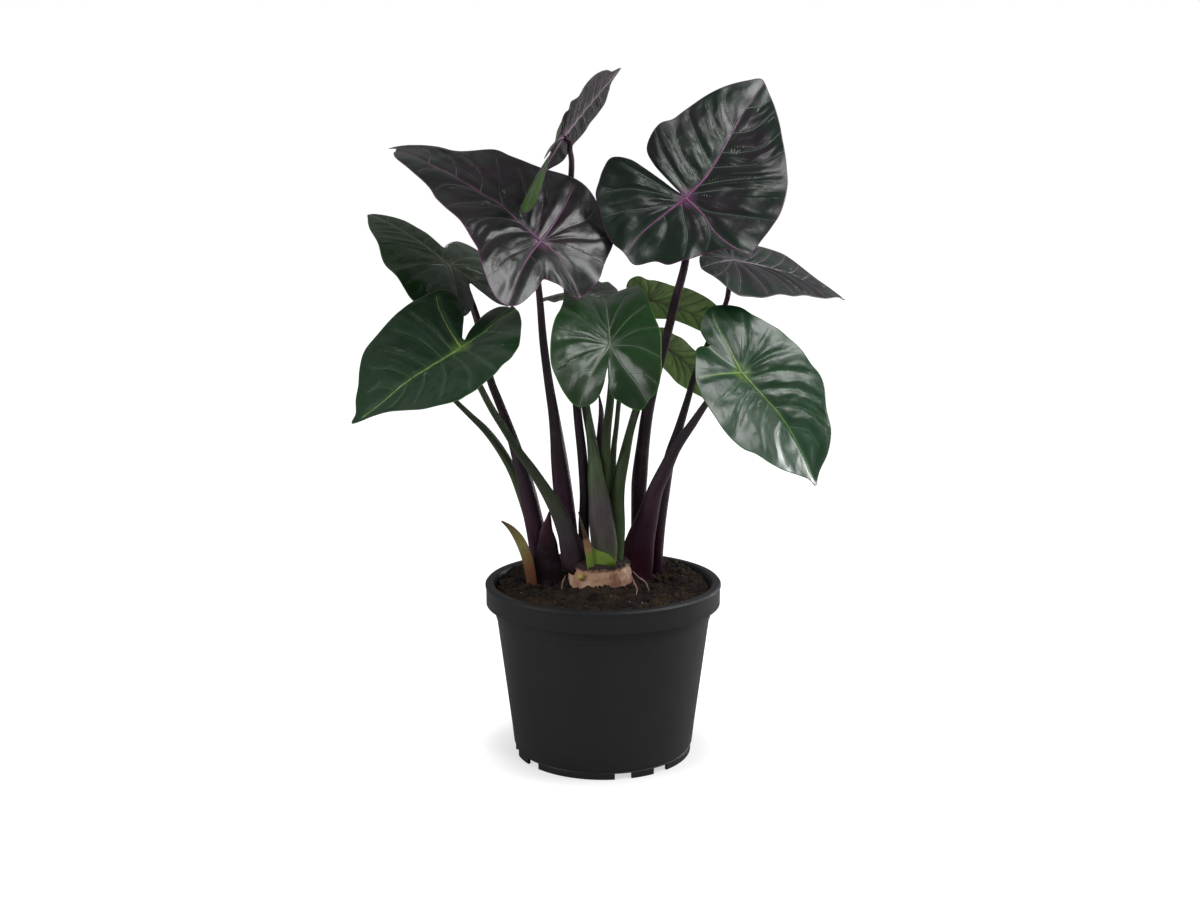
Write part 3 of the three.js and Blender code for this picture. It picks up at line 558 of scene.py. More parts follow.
            (14, 50, 330, 2.6), (17, 58, 360, 2.5), (21, 66, 397, 2.4), (27, 73, 427, 2.3),
        ],
    ),
    dict(
        number="10", attach=(64, 80, 411), length=104,
        heading=0, pitch=-35, roll=-40, twist=0, fold=(6, 6),
        curl=12, droop=20, lobes=(10, 10), wave=1.2, waves=7,
        outline=[
            (-176, 12), (-166, 18), (-150, 22), (-134, 24), (-116, 24), (-96, 24), (-72, 25), (-52, 31),
            (-38, 39), (-24, 55), (-10, 82), (0, 106), (9, 90), (20, 76), (32, 67), (46, 56), (57, 42),
            (75, 33), (95, 30), (115, 30), (138, 28), (155, 25), (168, 20),
        ],
        petiole=[
            (14, 14, 188, 6.2), (16, 14, 227, 6.6), (15, 15, 258, 6.8), (16, 17, 275, 6.8),
            (22, 24, 303, 5.6), (28, 32, 328, 4.3), (35, 40, 350, 4.1), (46, 51, 377, 3.1),
            (56, 60, 397, 2.6),
        ],
    ),
    dict(
        number="11", attach=(-30, 95, 465), length=90,
        heading=62, pitch=-4, roll=-20, twist=0, fold=(6, 6),
        curl=12, droop=10, lobes=(10, 10), wave=1.2, waves=7,
        outline=[
            (-176, 20), (-168, 34), (-156, 41), (-140, 42), (-120, 37), (-98, 33), (-76, 33), (-56, 37),
            (-40, 44), (-26, 55), (-12, 72), (0, 92), (12, 72), (26, 55), (40, 44), (56, 37), (76, 33),
            (98, 33), (120, 37), (140, 42), (156, 41), (168, 34),
        ],
        petiole=[
            (0, 3, 188, 12.5), (1, 2, 214, 13.4), (-2, 3, 240, 12.6), (-4, 5, 260, 10.8),
            (-7, 8, 280, 8.7), (-9, 13, 300, 6.6), (-12, 21, 322, 5.1), (-16, 31, 342, 4.6),
            (-20, 42, 364, 4.4), (-24, 56, 392, 4), (-28, 77, 428, 3.3),
        ],
    ),
    dict(
        number="12", attach=(-175, -20, 394), length=62,
        heading=215, pitch=-12, roll=10, twist=0, fold=(8, 8),
        curl=12, droop=20, lobes=(10, 10), wave=1, waves=7,
        outline=[
            (-176, 14), (-168, 24), (-156, 29), (-140, 30), (-120, 27), (-98, 24), (-76, 24), (-56, 26),
            (-40, 31), (-26, 39), (-12, 50), (0, 63), (12, 50), (26, 39), (40, 31), (56, 26), (76, 24),
            (98, 24), (120, 27), (140, 30), (156, 29), (168, 24),
        ],
        petiole=[
            (-66, 47, 150, 4.4), (-68, 47, 185, 4.8), (-75, 47, 219, 4.7), (-84, 47, 252, 4.7),
            (-94, 45, 282, 4.9), (-106, 39, 306, 4.6), (-120, 28, 328, 3.9), (-134, 15, 345, 3),
            (-148, 2, 362, 2.5), (-162, -11, 380, 2.3),
        ],
    ),
]

print("leaves:", len(LEAVES))

# %% [markdown]
# ## Bending a flat blade
# A blade is drawn flat, with u along the midrib and v to the left, and then bent: its halves rise
# from the midrib, its tip droops and its back lobes hang. The same sums as in the CAD part put
# each fine blade exactly on its coarse one.

# %% From the flat blade to the bent one
SOFT_FOLD = 6
HALF_WIDTH = 0.48  # these three are shares of the blade's length
TWIST_REACH = 0.3
LOBE_REACH = 0.5


def blade_axes(leaf):
    h, p, r = [math.radians(leaf[key]) for key in ("heading", "pitch", "roll")]
    along = np.array([math.cos(h) * math.cos(p), math.sin(h) * math.cos(p), math.sin(p)])
    level = np.array([-math.sin(h), math.cos(h), 0])
    left = level * math.cos(r) + np.cross(along, level) * math.sin(r)
    return along, left, np.cross(along, left)


def bent(leaf, flat, lift):
    """Points of the flat blade, lifted off it by some millimetres, in the frame in metres."""
    along, left, up = blade_axes(leaf)
    u, v = flat[:, 0], flat[:, 1]
    length = leaf["length"]
    is_left = v > 0
    across = np.hypot(v, SOFT_FOLD) - SOFT_FOLD
    rise = np.radians(np.where(is_left, *leaf["fold"]))
    rise = rise - math.radians(leaf["curl"]) * abs(v) / (2 * HALF_WIDTH * length)
    turn = math.radians(leaf["twist"]) * np.tanh(u / (TWIST_REACH * length))
    v0, w0 = v * np.cos(rise), across * np.sin(rise) + lift
    v1 = v0 * np.cos(turn) - w0 * np.sin(turn)
    w1 = v0 * np.sin(turn) + w0 * np.cos(turn)
    lobes = np.radians(np.where(is_left, *leaf["lobes"])) / (LOBE_REACH * length)
    rate = np.where(u > 0, math.radians(leaf["droop"]) / length, lobes)
    rate = np.where(abs(rate) < 1e-7, 1e-7, rate)
    angle = rate * u
    x = np.sin(angle) / rate + w1 * np.sin(angle)
    z = (np.cos(angle) - 1) / rate + w1 * np.cos(angle)
    return (np.array(leaf["attach"]) + np.outer(x, along) + np.outer(v1, left) + np.outer(z, up)) * MM


def flat_points(pairs):
    """Pairs of degrees and reach as flat points."""
    angle, reach = np.radians([p[0] for p in pairs]), np.array([p[1] for p in pairs], float)
    return np.stack([reach * np.cos(angle), reach * np.sin(angle)], axis=1)


def margin_wave(leaf, angle, part):
    """The margin's slow waves; part goes from 0 at the stalk to 1 at the margin."""
    return leaf["wave"] * part**3 * np.sin(leaf["waves"] * angle + leaf["length"])


def margin_reach(leaf, angle):
    """How far the margin is in a direction, in radians; the outline is read as a curve."""
    pairs = sorted((math.radians(d), reach) for d, reach in leaf["outline"])
    angles, reaches = zip(*pairs)
    angles = np.array([angles[-1] - 2 * math.pi, *angles, angles[0] + 2 * math.pi])
    return np.interp(angle, angles, [reaches[-1], *reaches, reaches[0]])


print("the first leaf's midrib points along", np.round(blade_axes(LEAVES[0])[0], 2))

# %% [markdown]
# ## Where the veins run
# A strong midrib runs to the tip and a strong rib into each back lobe. Side veins leave the midrib
# at about 50 degrees and arc forwards, others fan out from the stalk, and each lobe's rib has side
# veins of its own. The leaf is sunken along every vein and quilted between them, so the same
# lines shape the surface, colour it and carry the raised ridges. A leaf without veins in the table
# gets them from this rule.

# %% Veins as flat lines
SIDE_VEIN_STARTS = (0.76, 0.6, 0.45, 0.31, 0.18, 0.07)  # shares of the midrib
SIDE_VEIN_ANGLE = math.radians(52)
SIDE_VEIN_BOW = -0.13  # every bow is sideways, as a share of the vein's length
FAN_ANGLES = (78, 103, 126)  # degrees from the midrib, for the veins that start at the stalk
FAN_BOW = -0.1
LOBE_RIB_ANGLE = math.radians(150)
LOBE_RIB_BOW = 0.04
LOBE_RIB_STOP = 0.98
LOBE_VEIN_STARTS = (0.4, 0.7)  # shares of a lobe's rib
LOBE_VEIN_TURN = 50  # degrees from the lobe's rib, to both sides
LOBE_VEIN_BOW = 0.12
VEIN_STOP = 0.95  # a side vein stops this share of the way to the margin
TIP_SPAN = 16  # the tip lies within this many degrees of the midrib's start
MIDRIB_POINTS = 40
ARC_POINTS = 15
LONGEST_VEIN = 260.0


def run_to_margin(leaf, start, direction):
    """The distance from start to the margin in a direction."""
    steps = np.arange(1, LONGEST_VEIN)
    path = start + np.outer(steps, direction)
    inside = np.hypot(*path.T) < margin_reach(leaf, np.arctan2(path[:, 1], path[:, 0]))
    return steps[np.argmin(inside)] if not inside.all() else steps[-1]


def arc(leaf, start, angle, bow, stop=VEIN_STOP):
    """A vein from start towards the margin, bowed to one side."""
    direction = np.array([math.cos(angle), math.sin(angle)])
    end = start + direction * run_to_margin(leaf, start, direction) * stop
    side = np.array([-direction[1], direction[0]])
    middle = (start + end) / 2 + side * bow * np.linalg.norm(end - start)
    t = np.linspace(0, 1, ARC_POINTS)[:, None]
    return (1 - t) ** 2 * start + 2 * t * (1 - t) * middle + t**2 * end


def lay_veins(leaf):
    """(rank, side, line) for each vein: rank 0 for main ribs, 1 for side veins, 2 for the rest."""
    if "veins" in leaf:
        return [(rank, side, smooth_curve(flat_points(pairs), 5, False))
                for rank, side, pairs in leaf["veins"]]
    tip = max(leaf["outline"], key=lambda p: p[1] * (abs(p[0]) < TIP_SPAN))
    middle = np.array([leaf["length"] * 0.5, 0])
    end = flat_points([tip])[0]
    t = np.linspace(0, 1, MIDRIB_POINTS)[:, None]
    midrib = 2 * t * (1 - t) * middle + t**2 * end
    veins = [(0, 0, midrib)]
    stalk = np.zeros(2)
    for side in (1, -1):
        for share in SIDE_VEIN_STARTS:
            start = midrib[round(share * (MIDRIB_POINTS - 1))]
            veins.append((1, side, arc(leaf, start, side * SIDE_VEIN_ANGLE, SIDE_VEIN_BOW * side)))
        for degrees in FAN_ANGLES:
            veins.append((1, side, arc(leaf, stalk, side * math.radians(degrees), FAN_BOW * side)))
        lobe = LOBE_RIB_ANGLE * side
        rib = arc(leaf, stalk, lobe, LOBE_RIB_BOW * side, LOBE_RIB_STOP)
        veins.append((0, side, rib))
        for share in LOBE_VEIN_STARTS:
            start = rib[round(share * (ARC_POINTS - 1))]
            for way in (-1, 1):
                angle = lobe + side * math.radians(way * LOBE_VEIN_TURN)
                veins.append((2, side, arc(leaf, start, angle, LOBE_VEIN_BOW * way * side)))
    return veins


def distance_to(points, line):
    """The distance of each point to a line of many short stretches."""
    near = np.full(len(points), np.inf)
    for a, b in zip(line[:-1], line[1:]):
        along = b - a
        share = np.clip((points - a) @ along / max(along @ along, 1e-9), 0, 1)
        near = np.minimum(near, np.linalg.norm(points - a - share[:, None] * along, axis=1))
    return near


print("veins on the first leaf:", len(lay_veins(LEAVES[0])))

# %% [markdown]
# ## Quilting
# Relief is one function of a flat point, used by the blade's skin and by its vein ridges alike. It
# sinks along the veins and swells between neighbouring side veins. A second number counts from one
# side vein to the next: the material turns it into the finer ripples that run with the veins.

# %% Relief and the numbers that the material reads
VEIN_DEPTH = 0.9
VEIN_SPREAD = 3.2
MINOR_DEPTH = 0.5  # how deep the other veins lie, as a share of a rib's depth
QUILT_HEIGHT = 1.3
QUILT_FROM_STALK = 25  # the quilting reaches its full height over these distances
QUILT_FROM_RIB = 8
QUILT_FROM_MARGIN = 0.25  # a share of the way from the stalk to the margin
FAR = 1e9  # farther than any vein
FIRST_COUNT = 20  # keeps the count of side veins above zero


class Surface:
    """What a leaf's veins say about its flat points."""

    def __init__(self, leaf):
        self.leaf = leaf
        self.veins = lay_veins(leaf)

    def measure(self, flat):
        main = np.full(len(flat), FAR)
        minor = np.full(len(flat), FAR)
        ordered = {1: [], -1: []}
        for rank, side, line in self.veins:
            away = distance_to(flat, line)
            if rank == 0:
                main = np.minimum(main, away)
            else:
                minor = np.minimum(minor, away)
            if side and rank < 2:
                ordered[side].append(away)
        count = np.zeros(len(flat))
        for side in (1, -1):
            table = np.stack(ordered[side])
            nearest = np.argmin(table, axis=0)
            columns = np.arange(len(flat))
            here = table[nearest, columns]
            before = np.where(nearest > 0, table[np.maximum(nearest - 1, 0), columns], FAR)
            after_row = np.minimum(nearest + 1, len(table) - 1)
            after = np.where(nearest < len(table) - 1, table[after_row, columns], FAR)
            step = np.where(before < after, -1, 1)
            other = np.minimum(before, after)
            value = nearest + step * here / (here + other + 1e-9)
            mine = flat[:, 1] > 0 if side > 0 else flat[:, 1] <= 0
            count = np.where(mine, value + FIRST_COUNT, count)
        return main, minor, count

    def relief(self, flat, part):
        main, minor, count = self.measure(flat)
        fraction = count - np.floor(count)
        reach = np.hypot(*flat.T)
        envelope = np.clip(reach / QUILT_FROM_STALK, 0, 1)
        envelope = envelope * np.clip((1 - part) / QUILT_FROM_MARGIN, 0, 1)
        envelope = envelope * np.clip(main / QUILT_FROM_RIB, 0, 1)
        quilt = QUILT_HEIGHT * 4 * fraction * (1 - fraction) * envelope
        sunk = np.exp(-((main / VEIN_SPREAD) ** 2))
        sunk += MINOR_DEPTH * np.exp(-((minor / VEIN_SPREAD) ** 2)) * (1 - part**4)
        return quilt - VEIN_DEPTH * sunk, main, minor, count


print("deepest vein:", VEIN_DEPTH, "mm")

# %% [markdown]
# ## A blade
# The skin is a fan: rays from the stalk to the margin, cut by rings that crowd towards the margin.
# It has an upper and a lower side, and a narrow rim between them.

# %% The blade's skin
BLADE_THICKNESS = 0.9
RAY_SPACING = 2.6
RINGS = np.concatenate([np.linspace(0.02, 0.93, 34), [0.955, 0.975, 0.99, 1.0]])


def blade_skin(leaf, surface, materials):
    rays = smooth_curve(flat_points(leaf["outline"]), RAY_SPACING, True)
    count = len(rays)
    flat = np.vstack([[0, 0], (rays[None] * RINGS[:, None, None]).reshape(-1, 2)])
    part = np.concatenate([[0], np.repeat(RINGS, count)])
    angle = np.arctan2(flat[:, 1], flat[:, 0])
    wave = margin_wave(leaf, angle, part)
    relief, main, minor, laterals = surface.relief(flat, part)
    half = BLADE_THICKNESS / 2 * (1 - 0.4 * part**6)
    top = bent(leaf, flat, wave + relief + half)
    under = bent(leaf, flat, wave + relief - half)
    total = len(flat)
    ring_faces = np.array(rows_to_faces(len(RINGS), count, start=1))
    fan = np.array([[0, 1 + i, 1 + (i + 1) % count] for i in range(count)])
    last = total - count
    rim = [[last + (i + 1) % count, last + i, total + last + i, total + last + (i + 1) % count]
           for i in range(count)]
    upper = fan.tolist() + ring_faces[:, [0, 3, 2, 1]].tolist()
    lower = [[total + i for i in reversed(face)] for face in upper]
    faces = upper + lower + rim
    slots = [0] * len(upper) + [1] * len(lower) + [0] * len(rim)
    edge = (1 - part) * np.concatenate([[1], np.tile(np.hypot(*rays.T), len(RINGS))])
    numbers = {
        "flat": np.tile(np.column_stack([flat, np.zeros(total)]), (2, 1)),
        "main": np.tile(main, 2),
        "minor": np.tile(minor, 2),
        "laterals": np.tile(laterals, 2),
        "edge": np.tile(edge, 2),
    }
    name = "blade_" + leaf["number"]
    return make_object(name, np.vstack([top, under]), faces, materials, slots, numbers)


# %% [markdown]
# ## Vein ridges with Geometry Nodes
# A vein is a ridge that follows a line, so the lines go in as bare edges with a radius at each
# point, and one node tree turns them into tubes. There is a tube on each side of the blade. A
# rib's tube lies partly inside the blade, and a side vein's stands a little higher, because it is
# so thin that it would be lost in its valley.

# %% The tree that turns lines into tubes
def add_node(tree, kind, **settings):
    made = tree.nodes.new(kind)
    for name, value in settings.items():
        setattr(made, name, value)
    return made


def start_tree(name, inputs):
    """A Geometry Nodes tree with named inputs; returns it with its two end nodes."""
    tree = bpy.data.node_groups.new(name, "GeometryNodeTree")
    tree.interface.new_socket("Geometry", in_out="INPUT", socket_type="NodeSocketGeometry")
    tree.interface.new_socket("Geometry", in_out="OUTPUT", socket_type="NodeSocketGeometry")
    for label, (kind, value) in inputs.items():
        socket = tree.interface.new_socket(label, in_out="INPUT", socket_type=kind)
        if value is not None:
            socket.default_value = value
    return tree, tree.nodes.new("NodeGroupInput"), tree.nodes.new("NodeGroupOutput")


def close_tree(tree, geometry, material, end):
    """Every tree ends in Realize Instances and Set Material."""
    realize = tree.nodes.new("GeometryNodeRealizeInstances")
    paint = tree.nodes.new("GeometryNodeSetMaterial")
    tree.links.new(geometry, realize.inputs["Geometry"])
    tree.links.new(realize.outputs["Geometry"], paint.inputs["Geometry"])
    tree.links.new(material, paint.inputs["Material"])
    tree.links.new(paint.outputs["Geometry"], end.inputs["Geometry"])


def tube_tree():
    inputs = {
        "Sides": ("NodeSocketInt", 6),
        "Thickness": ("NodeSocketFloat", 1.0),
        "Material": ("NodeSocketMaterial", None),
    }
    tree, start, end = start_tree("tubes_on_lines", inputs)
    curve = tree.nodes.new("GeometryNodeMeshToCurve")
    radius = add_node(tree, "GeometryNodeInputNamedAttribute", data_type="FLOAT")
    radius.inputs["Name"].default_value = "radius"
    scale = add_node(tree, "ShaderNodeMath", operation="MULTIPLY")
    circle = tree.nodes.new("GeometryNodeCurvePrimitiveCircle")
    circle.inputs["Radius"].default_value = 1
    tube = tree.nodes.new("GeometryNodeCurveToMesh")
    tree.links.new(start.outputs["Geometry"], curve.inputs["Mesh"])
    tree.links.new(radius.outputs["Attribute"], scale.inputs[0])
    tree.links.new(start.outputs["Thickness"], scale.inputs[1])
    tree.links.new(start.outputs["Sides"], circle.inputs["Resolution"])
    tree.links.new(curve.outputs["Curve"], tube.inputs["Curve"])
    tree.links.new(circle.outputs["Curve"], tube.inputs["Profile Curve"])
    tree.links.new(scale.outputs[0], tube.inputs["Scale"])
    close_tree(tree, tube.outputs["Mesh"], start.outputs["Material"], end)
    return tree


TUBES = tube_tree()
TUBE_SIDES = 6


def grow(base, tree, values, name):
    """Runs a tree on an object and returns the result as a plain mesh object."""
    modifier = base.modifiers.new("grow", "NODES")
    modifier.node_group = tree
    for item in tree.interface.items_tree:
        if item.in_out == "INPUT" and item.name in values:
            modifier[item.identifier] = values[item.name]
    evaluated = base.evaluated_get(bpy.context.evaluated_depsgraph_get())
    mesh = bpy.data.meshes.new_from_object(evaluated)
    mesh.shade_smooth()
    made = bpy.data.objects.new(name, mesh)
    bpy.context.scene.collection.objects.link(made)
    bpy.data.objects.remove(base)
    return made


def tubes(name, lines, material):
    """lines are (points in metres, radii in metres); each becomes a tube."""
    mesh = bpy.data.meshes.new(name)
    points = np.vstack([line for line, _ in lines])
    starts = np.cumsum([0] + [len(line) for line, _ in lines])
    edges = [(i, i + 1) for a, b in zip(starts[:-1], starts[1:]) for i in range(a, b - 1)]
    mesh.from_pydata(points.tolist(), edges, [])
    layer = mesh.attributes.new("radius", "FLOAT", "POINT")
    layer.data.foreach_set("value", np.concatenate([r for _, r in lines]).astype(np.float32))
    base = bpy.data.objects.new(name + "_lines", mesh)
    bpy.context.scene.collection.objects.link(base)
    values = {"Sides": TUBE_SIDES, "Thickness": 1.0, "Material": material}
    return grow(base, TUBES, values, name)


print("tree inputs:", [i.name for i in TUBES.interface.items_tree])

# %% A leaf's vein ridges
RIB_RADIUS = {0: (1.7, 0.35), 1: (0.56, 0.2), 2: (0.42, 0.16)}  # at the start and at the end
RIDGE_SINK = {0: 0.45, 1: -0.2, 2: -0.2}  # how deep a tube's centre lies below a side, in radii


def vein_ridges(leaf, surface, midribs, side_veins):
    """Two pieces: the ribs in the midribs' material, and all other veins."""
    lines = {True: [], False: []}
    for rank, _, line in surface.veins:
        line = smooth_curve(line, 2.5, False)
        angle = np.arctan2(line[:, 1], line[:, 0])
        part = np.clip(np.hypot(*line.T) / margin_reach(leaf, angle), 0, 1)
        wave = margin_wave(leaf, angle, part)
        wide, narrow = RIB_RADIUS[rank]
        radius = wide + (narrow - wide) * np.linspace(0, 1, len(line)) ** 0.7
        height = wave + surface.relief(line, part)[0]
        rise = BLADE_THICKNESS / 2 - RIDGE_SINK[rank] * radius
        for side in (1, -1):
            lines[rank == 0].append((bent(leaf, line, height + side * rise), radius * MM))
    number = leaf["number"]
    return [tubes("midribs_" + number, lines[True], midribs),
            tubes("side_veins_" + number, lines[False], side_veins)]


# %% [markdown]
# ## How a leaf looks
# The upper side is a deep green or nearly black with a satin gloss. It pales along the veins,
# changes in soft patches, and may turn greener or purple towards the margin. The ripples between
# side veins are only fractions of a millimetre high, so they are bump, made from the counted
# number that the mesh carries. Each leaf has its own palette because the plant shows leaves of
# several ages.

# %% Leaf finish
RIPPLES = 1.5  # fine ripples between two side veins
UNDER_ROUGHNESS = 0.55
UNDER_SHINE = 0.2
FAR_LOBES = (-10, -60)  # millimetres along the midrib, between which a lobe's own colour sets in


def leaf_finish(name, colours, core, rough=0.34, coat=0.2, shine=0.5):
    """colours are the base, patches, lobes, surroundings of veins and margin; core is the stalk's spot."""
    base, patch, far, halo, rim = colours
    material, wire = start_material(name)
    flat = attribute(wire, "flat", 1)
    scaled = wire.node("ShaderNodeVectorMath", {"operation": "SCALE"}, {0: flat, "Scale": MM})
    along = wire.node("ShaderNodeSeparateXYZ", None, {"Vector": flat}, 0)
    patches = noise(wire, scaled, 16, 3)
    fine = noise(wire, scaled, 160, 4, 0.6)
    colour = mix(smooth(patches, 0.4, 0.66), linear(base), linear(patch))
    colour = mix(smooth(along, *FAR_LOBES), colour, linear(far))
    near_main = smooth(attribute(wire, "main"), 5, 0)
    near_minor = smooth(attribute(wire, "minor"), 3.5, 0.5)
    colour = mix((near_main * 0.55 + near_minor * 0.35).clamped(), colour, linear(halo))
    colour = mix(smooth(fine, 0.2, 0.9) * 0.22, colour, (0, 0, 0, 1))
    reach = wire.node("ShaderNodeVectorMath", {"operation": "LENGTH"}, {0: flat}, "Value")
    colour = mix(smooth(reach, 15, 2) * 0.5, colour, linear(core))
    edge = attribute(wire, "edge")
    colour = mix(smooth(edge, 1.5, 0.7) * 0.85, colour, linear(rim))
    laterals = attribute(wire, "laterals")
    wobble = noise(wire, scaled, 26, 1)
    uneven = noise(wire, scaled, 45, 2)
    ripples = wire.maths("SINE", (laterals + wobble * 0.9) * (2 * math.pi * RIPPLES))
    calm = smooth(edge, 0, 14) * smooth(attribute(wire, "main"), 1, 12) * smooth(uneven, 0.3, 0.6)
    normal = bump(wire, ripples * 0.5 * calm, 1.0 * MM)
    normal = bump(wire, wobble, 6 * MM, normal)
    normal = bump(wire, fine, 0.08 * MM, normal)
    roughness = patches * 0.12 + (rough - 0.06)
    constants = {"Coat Weight": coat, "Coat Roughness": 0.18, "Specular IOR Level": shine}
    return finish_material(material, constants, Base_Color=colour, Roughness=roughness, Normal=normal)


def ridge_finish(name, colour):
    """A vein's own colour, with a slight grain."""
    material, wire = start_material(name)
    grain = noise(wire, place_on(wire), 90, 2)
    shade = mix(smooth(grain, 0.3, 0.7) * 0.35, linear(colour), (0.02, 0.02, 0.02, 1))
    return finish_material(material, {"Roughness": 0.4}, Base_Color=shade)


# %% The leaves' palettes
# base, patch, far lobes, halo, rim; the underside's base, patch, halo; then midrib and side veins
GREEN_UNDER = (0x3A5A2E, 0x446634, 0x6A7C58)
PURPLE_UNDER = (0x2B2830, 0x3A303C, 0x6A5468)
PALETTES = {
    "01": ((0x2C3A2E, 0x3A4A38, 0x4E7A2A, 0x6A6468, 0x5A4058),
           (0x2A302A, 0x362E34, 0x6E646A), 0x9A7A92, 0x8E8A8C),
    "02": ((0x18201C, 0x2A1C26, 0x14201A, 0x40343E, 0x6E3A64),
           PURPLE_UNDER, 0x86587E, 0x706C72),
    "03": ((0x122A1A, 0x28202A, 0x122C1C, 0x3A4A40, 0x5E3058),
           PURPLE_UNDER, 0xA8649A, 0x7C8C80),
    "04": ((0x183A12, 0x1C3416, 0x101C0E, 0x3E4A3A, 0x2C5A1E),
           GREEN_UNDER, 0x7A7A70, 0x5E6A58),
    "05": ((0x1F3D22, 0x26422C, 0x1A3318, 0x3E5E3A, 0x2E5426),
           GREEN_UNDER, 0x84A850, 0x50704A),
    "06": ((0x1A4018, 0x22481F, 0x14360F, 0x4A5C48, 0x3A6E22),
           GREEN_UNDER, 0x7C8A76, 0x769070),
    "07": ((0x2A3C30, 0x383238, 0x22421C, 0x5E5860, 0x6A6068),
           (0x3A4438, 0x48444C, 0x6A6470), 0xA898A6, 0x9A94A0),
    "08": ((0x204426, 0x2A5036, 0x1F4424, 0x466A48, 0x32602C),
           GREEN_UNDER, 0x8CB452, 0x50805A),
    "09": ((0x4A7038, 0x54783F, 0x4A7038, 0x6A8A58, 0x7A9A58),
           (0x92B468, 0x9CB678, 0x6E8C50), 0x7A7C60, 0x6A7C54),
    "10": ((0x4A7038, 0x54783F, 0x4A7038, 0x6A8A58, 0x7A9A58),
           (0x94B66A, 0x9EB87A, 0x6E8C50), 0x7A7A62, 0x6A7C54),
    "11": ((0x7A847A, 0x8A9088, 0x7A847A, 0x9A9A96, 0x8A8A80),
           (0x808A7E, 0x90968C, 0x9A9A96), 0x949490, 0x949490),
    "12": ((0x1F3D22, 0x26422C, 0x1A3318, 0x3E5E3A, 0x2E5426),
           GREEN_UNDER, 0x84A850, 0x6A8A5E),
}
CAD_SLOTS = dict(zip(
    [leaf["number"] for leaf in LEAVES],
    ["blade_grey", "blade_dark", "blade_dark", "blade_green", "blade_green", "blade_green",
     "blade_grey", "blade_green", "blade_pale", "blade_pale", "blade_grey", "blade_green"],
))


def make_blade(leaf):
    number = leaf["number"]
    upper, under, midrib, side_vein = PALETTES[number]
    lower = (under[0], under[1], under[0], under[2], upper[4])
    top = leaf_finish(f"leaf_{number}_upper", upper, midrib)
    low = leaf_finish(f"leaf_{number}_under", lower, midrib, UNDER_ROUGHNESS, 0, UNDER_SHINE)
    surface = Surface(leaf)
    skin = blade_skin(leaf, surface, [top, low])
    midribs = ridge_finish(f"leaf_{number}_midrib", midrib)
    side_veins = ridge_finish(f"leaf_{number}_side_vein", side_vein)
    piece = join([skin, *vein_ridges(leaf, surface, midribs, side_veins)], "blade_" + number)
    return settle(piece, CAD_SLOTS[number], f"leaf_{number}_blade")


blades = [make_blade(leaf) for leaf in LEAVES]
print("blades:", len(blades), "with", sum(len(b.data.polygons) for b in blades), "faces")

# %% [markdown]
# ## Stalks and sheaths
# A stalk is an oval tube along a smooth route. It is widest where it sheathes its neighbours at the
# base, but never deeper than 8 mm, so its section flattens there and a plain pipe won't do: the
# rings are worked out one by one. Its colour runs from a wine-red base to a nearly black top, or
# through olive, with fine lines along it.

# %% Stalk rings
STALK_SIDES = 22
STALK_DEPTH = 8
NECK = 7  # the last straight stretch, square to the blade
NECK_GAP = 1.2
RING_STEP = 3.5


def tube_rings(route, depth_limit):
    """Rings along a smooth route of (x, y, z, radius), in mm; also the share of the length."""
    line = smooth_curve(np.array(route, float), RING_STEP, False)
    centre, radius = line[:, :3], np.maximum(line[:, 3], 0.4)
    along = np.gradient(centre, axis=0)
    along /= np.linalg.norm(along, axis=1)[:, None]
    depth = np.array([0, 1, 0]) - along[:, 1:2] * along
    depth /= np.linalg.norm(depth, axis=1)[:, None]
    across = np.cross(along, depth)
    angle = 2 * np.pi * np.arange(STALK_SIDES) / STALK_SIDES
    flatter = np.minimum(radius, depth_limit)
    rings = (centre[:, None] - across[:, None] * (np.cos(angle)[None, :, None] * radius[:, None, None])
             + depth[:, None] * (np.sin(angle)[None, :, None] * flatter[:, None, None]))
    share = np.concatenate([[0], np.cumsum(np.linalg.norm(np.diff(centre, axis=0), axis=1))])
    return rings, share / share[-1]


def tube_piece(name, route, depth_limit, material):
    rings, share = tube_rings(route, depth_limit)
    rows, sides = rings.shape[:2]
    points = np.vstack([rings.reshape(-1, 3), rings[0].mean(0), rings[-1].mean(0)]) * MM
    turn = np.tile(np.arange(sides) / sides, rows) * 2 * np.pi
    flow = np.column_stack([np.cos(turn), np.sin(turn), np.repeat(share * 3, sides)])
    numbers = {
        "share": np.concatenate([np.repeat(share, sides), [0, 1]]),
        "flow": np.vstack([flow, flow[:1], flow[-1:]]),
    }
    return make_object(name, points, capped(rows, sides), [material], None, numbers)


def stalk_finish(name, stops, rough=0.38, streak=0.35):
    """stops are (share of the length, colour) from the base to the top."""
    material, wire = start_material(name)
    ramp = [(place, linear(colour)) for place, colour in stops]
    share = attribute(wire, "share")
    colour = wire.node("ShaderNodeValToRGB", {"stops": ramp}, {"Fac": share})
    flow = attribute(wire, "flow", 1)
    streaks = noise(wire, flow, 5.5, 4, 0.6)
    mottle = noise(wire, place_on(wire), 60, 3)
    colour = mix(smooth(streaks, 0.35, 0.75) * streak, colour, linear(0x1A1216))
    colour = mix(smooth(mottle, 0.5, 0.8) * 0.25, colour, linear(0x6E5466))
    normal = bump(wire, streaks, 0.5 * MM)
    constants = {"Coat Weight": 0.05, "Coat Roughness": 0.25, "Specular IOR Level": 0.35}
    roughness = mottle * 0.1 + rough
    return finish_material(material, constants, Base_Color=colour, Roughness=roughness, Normal=normal)


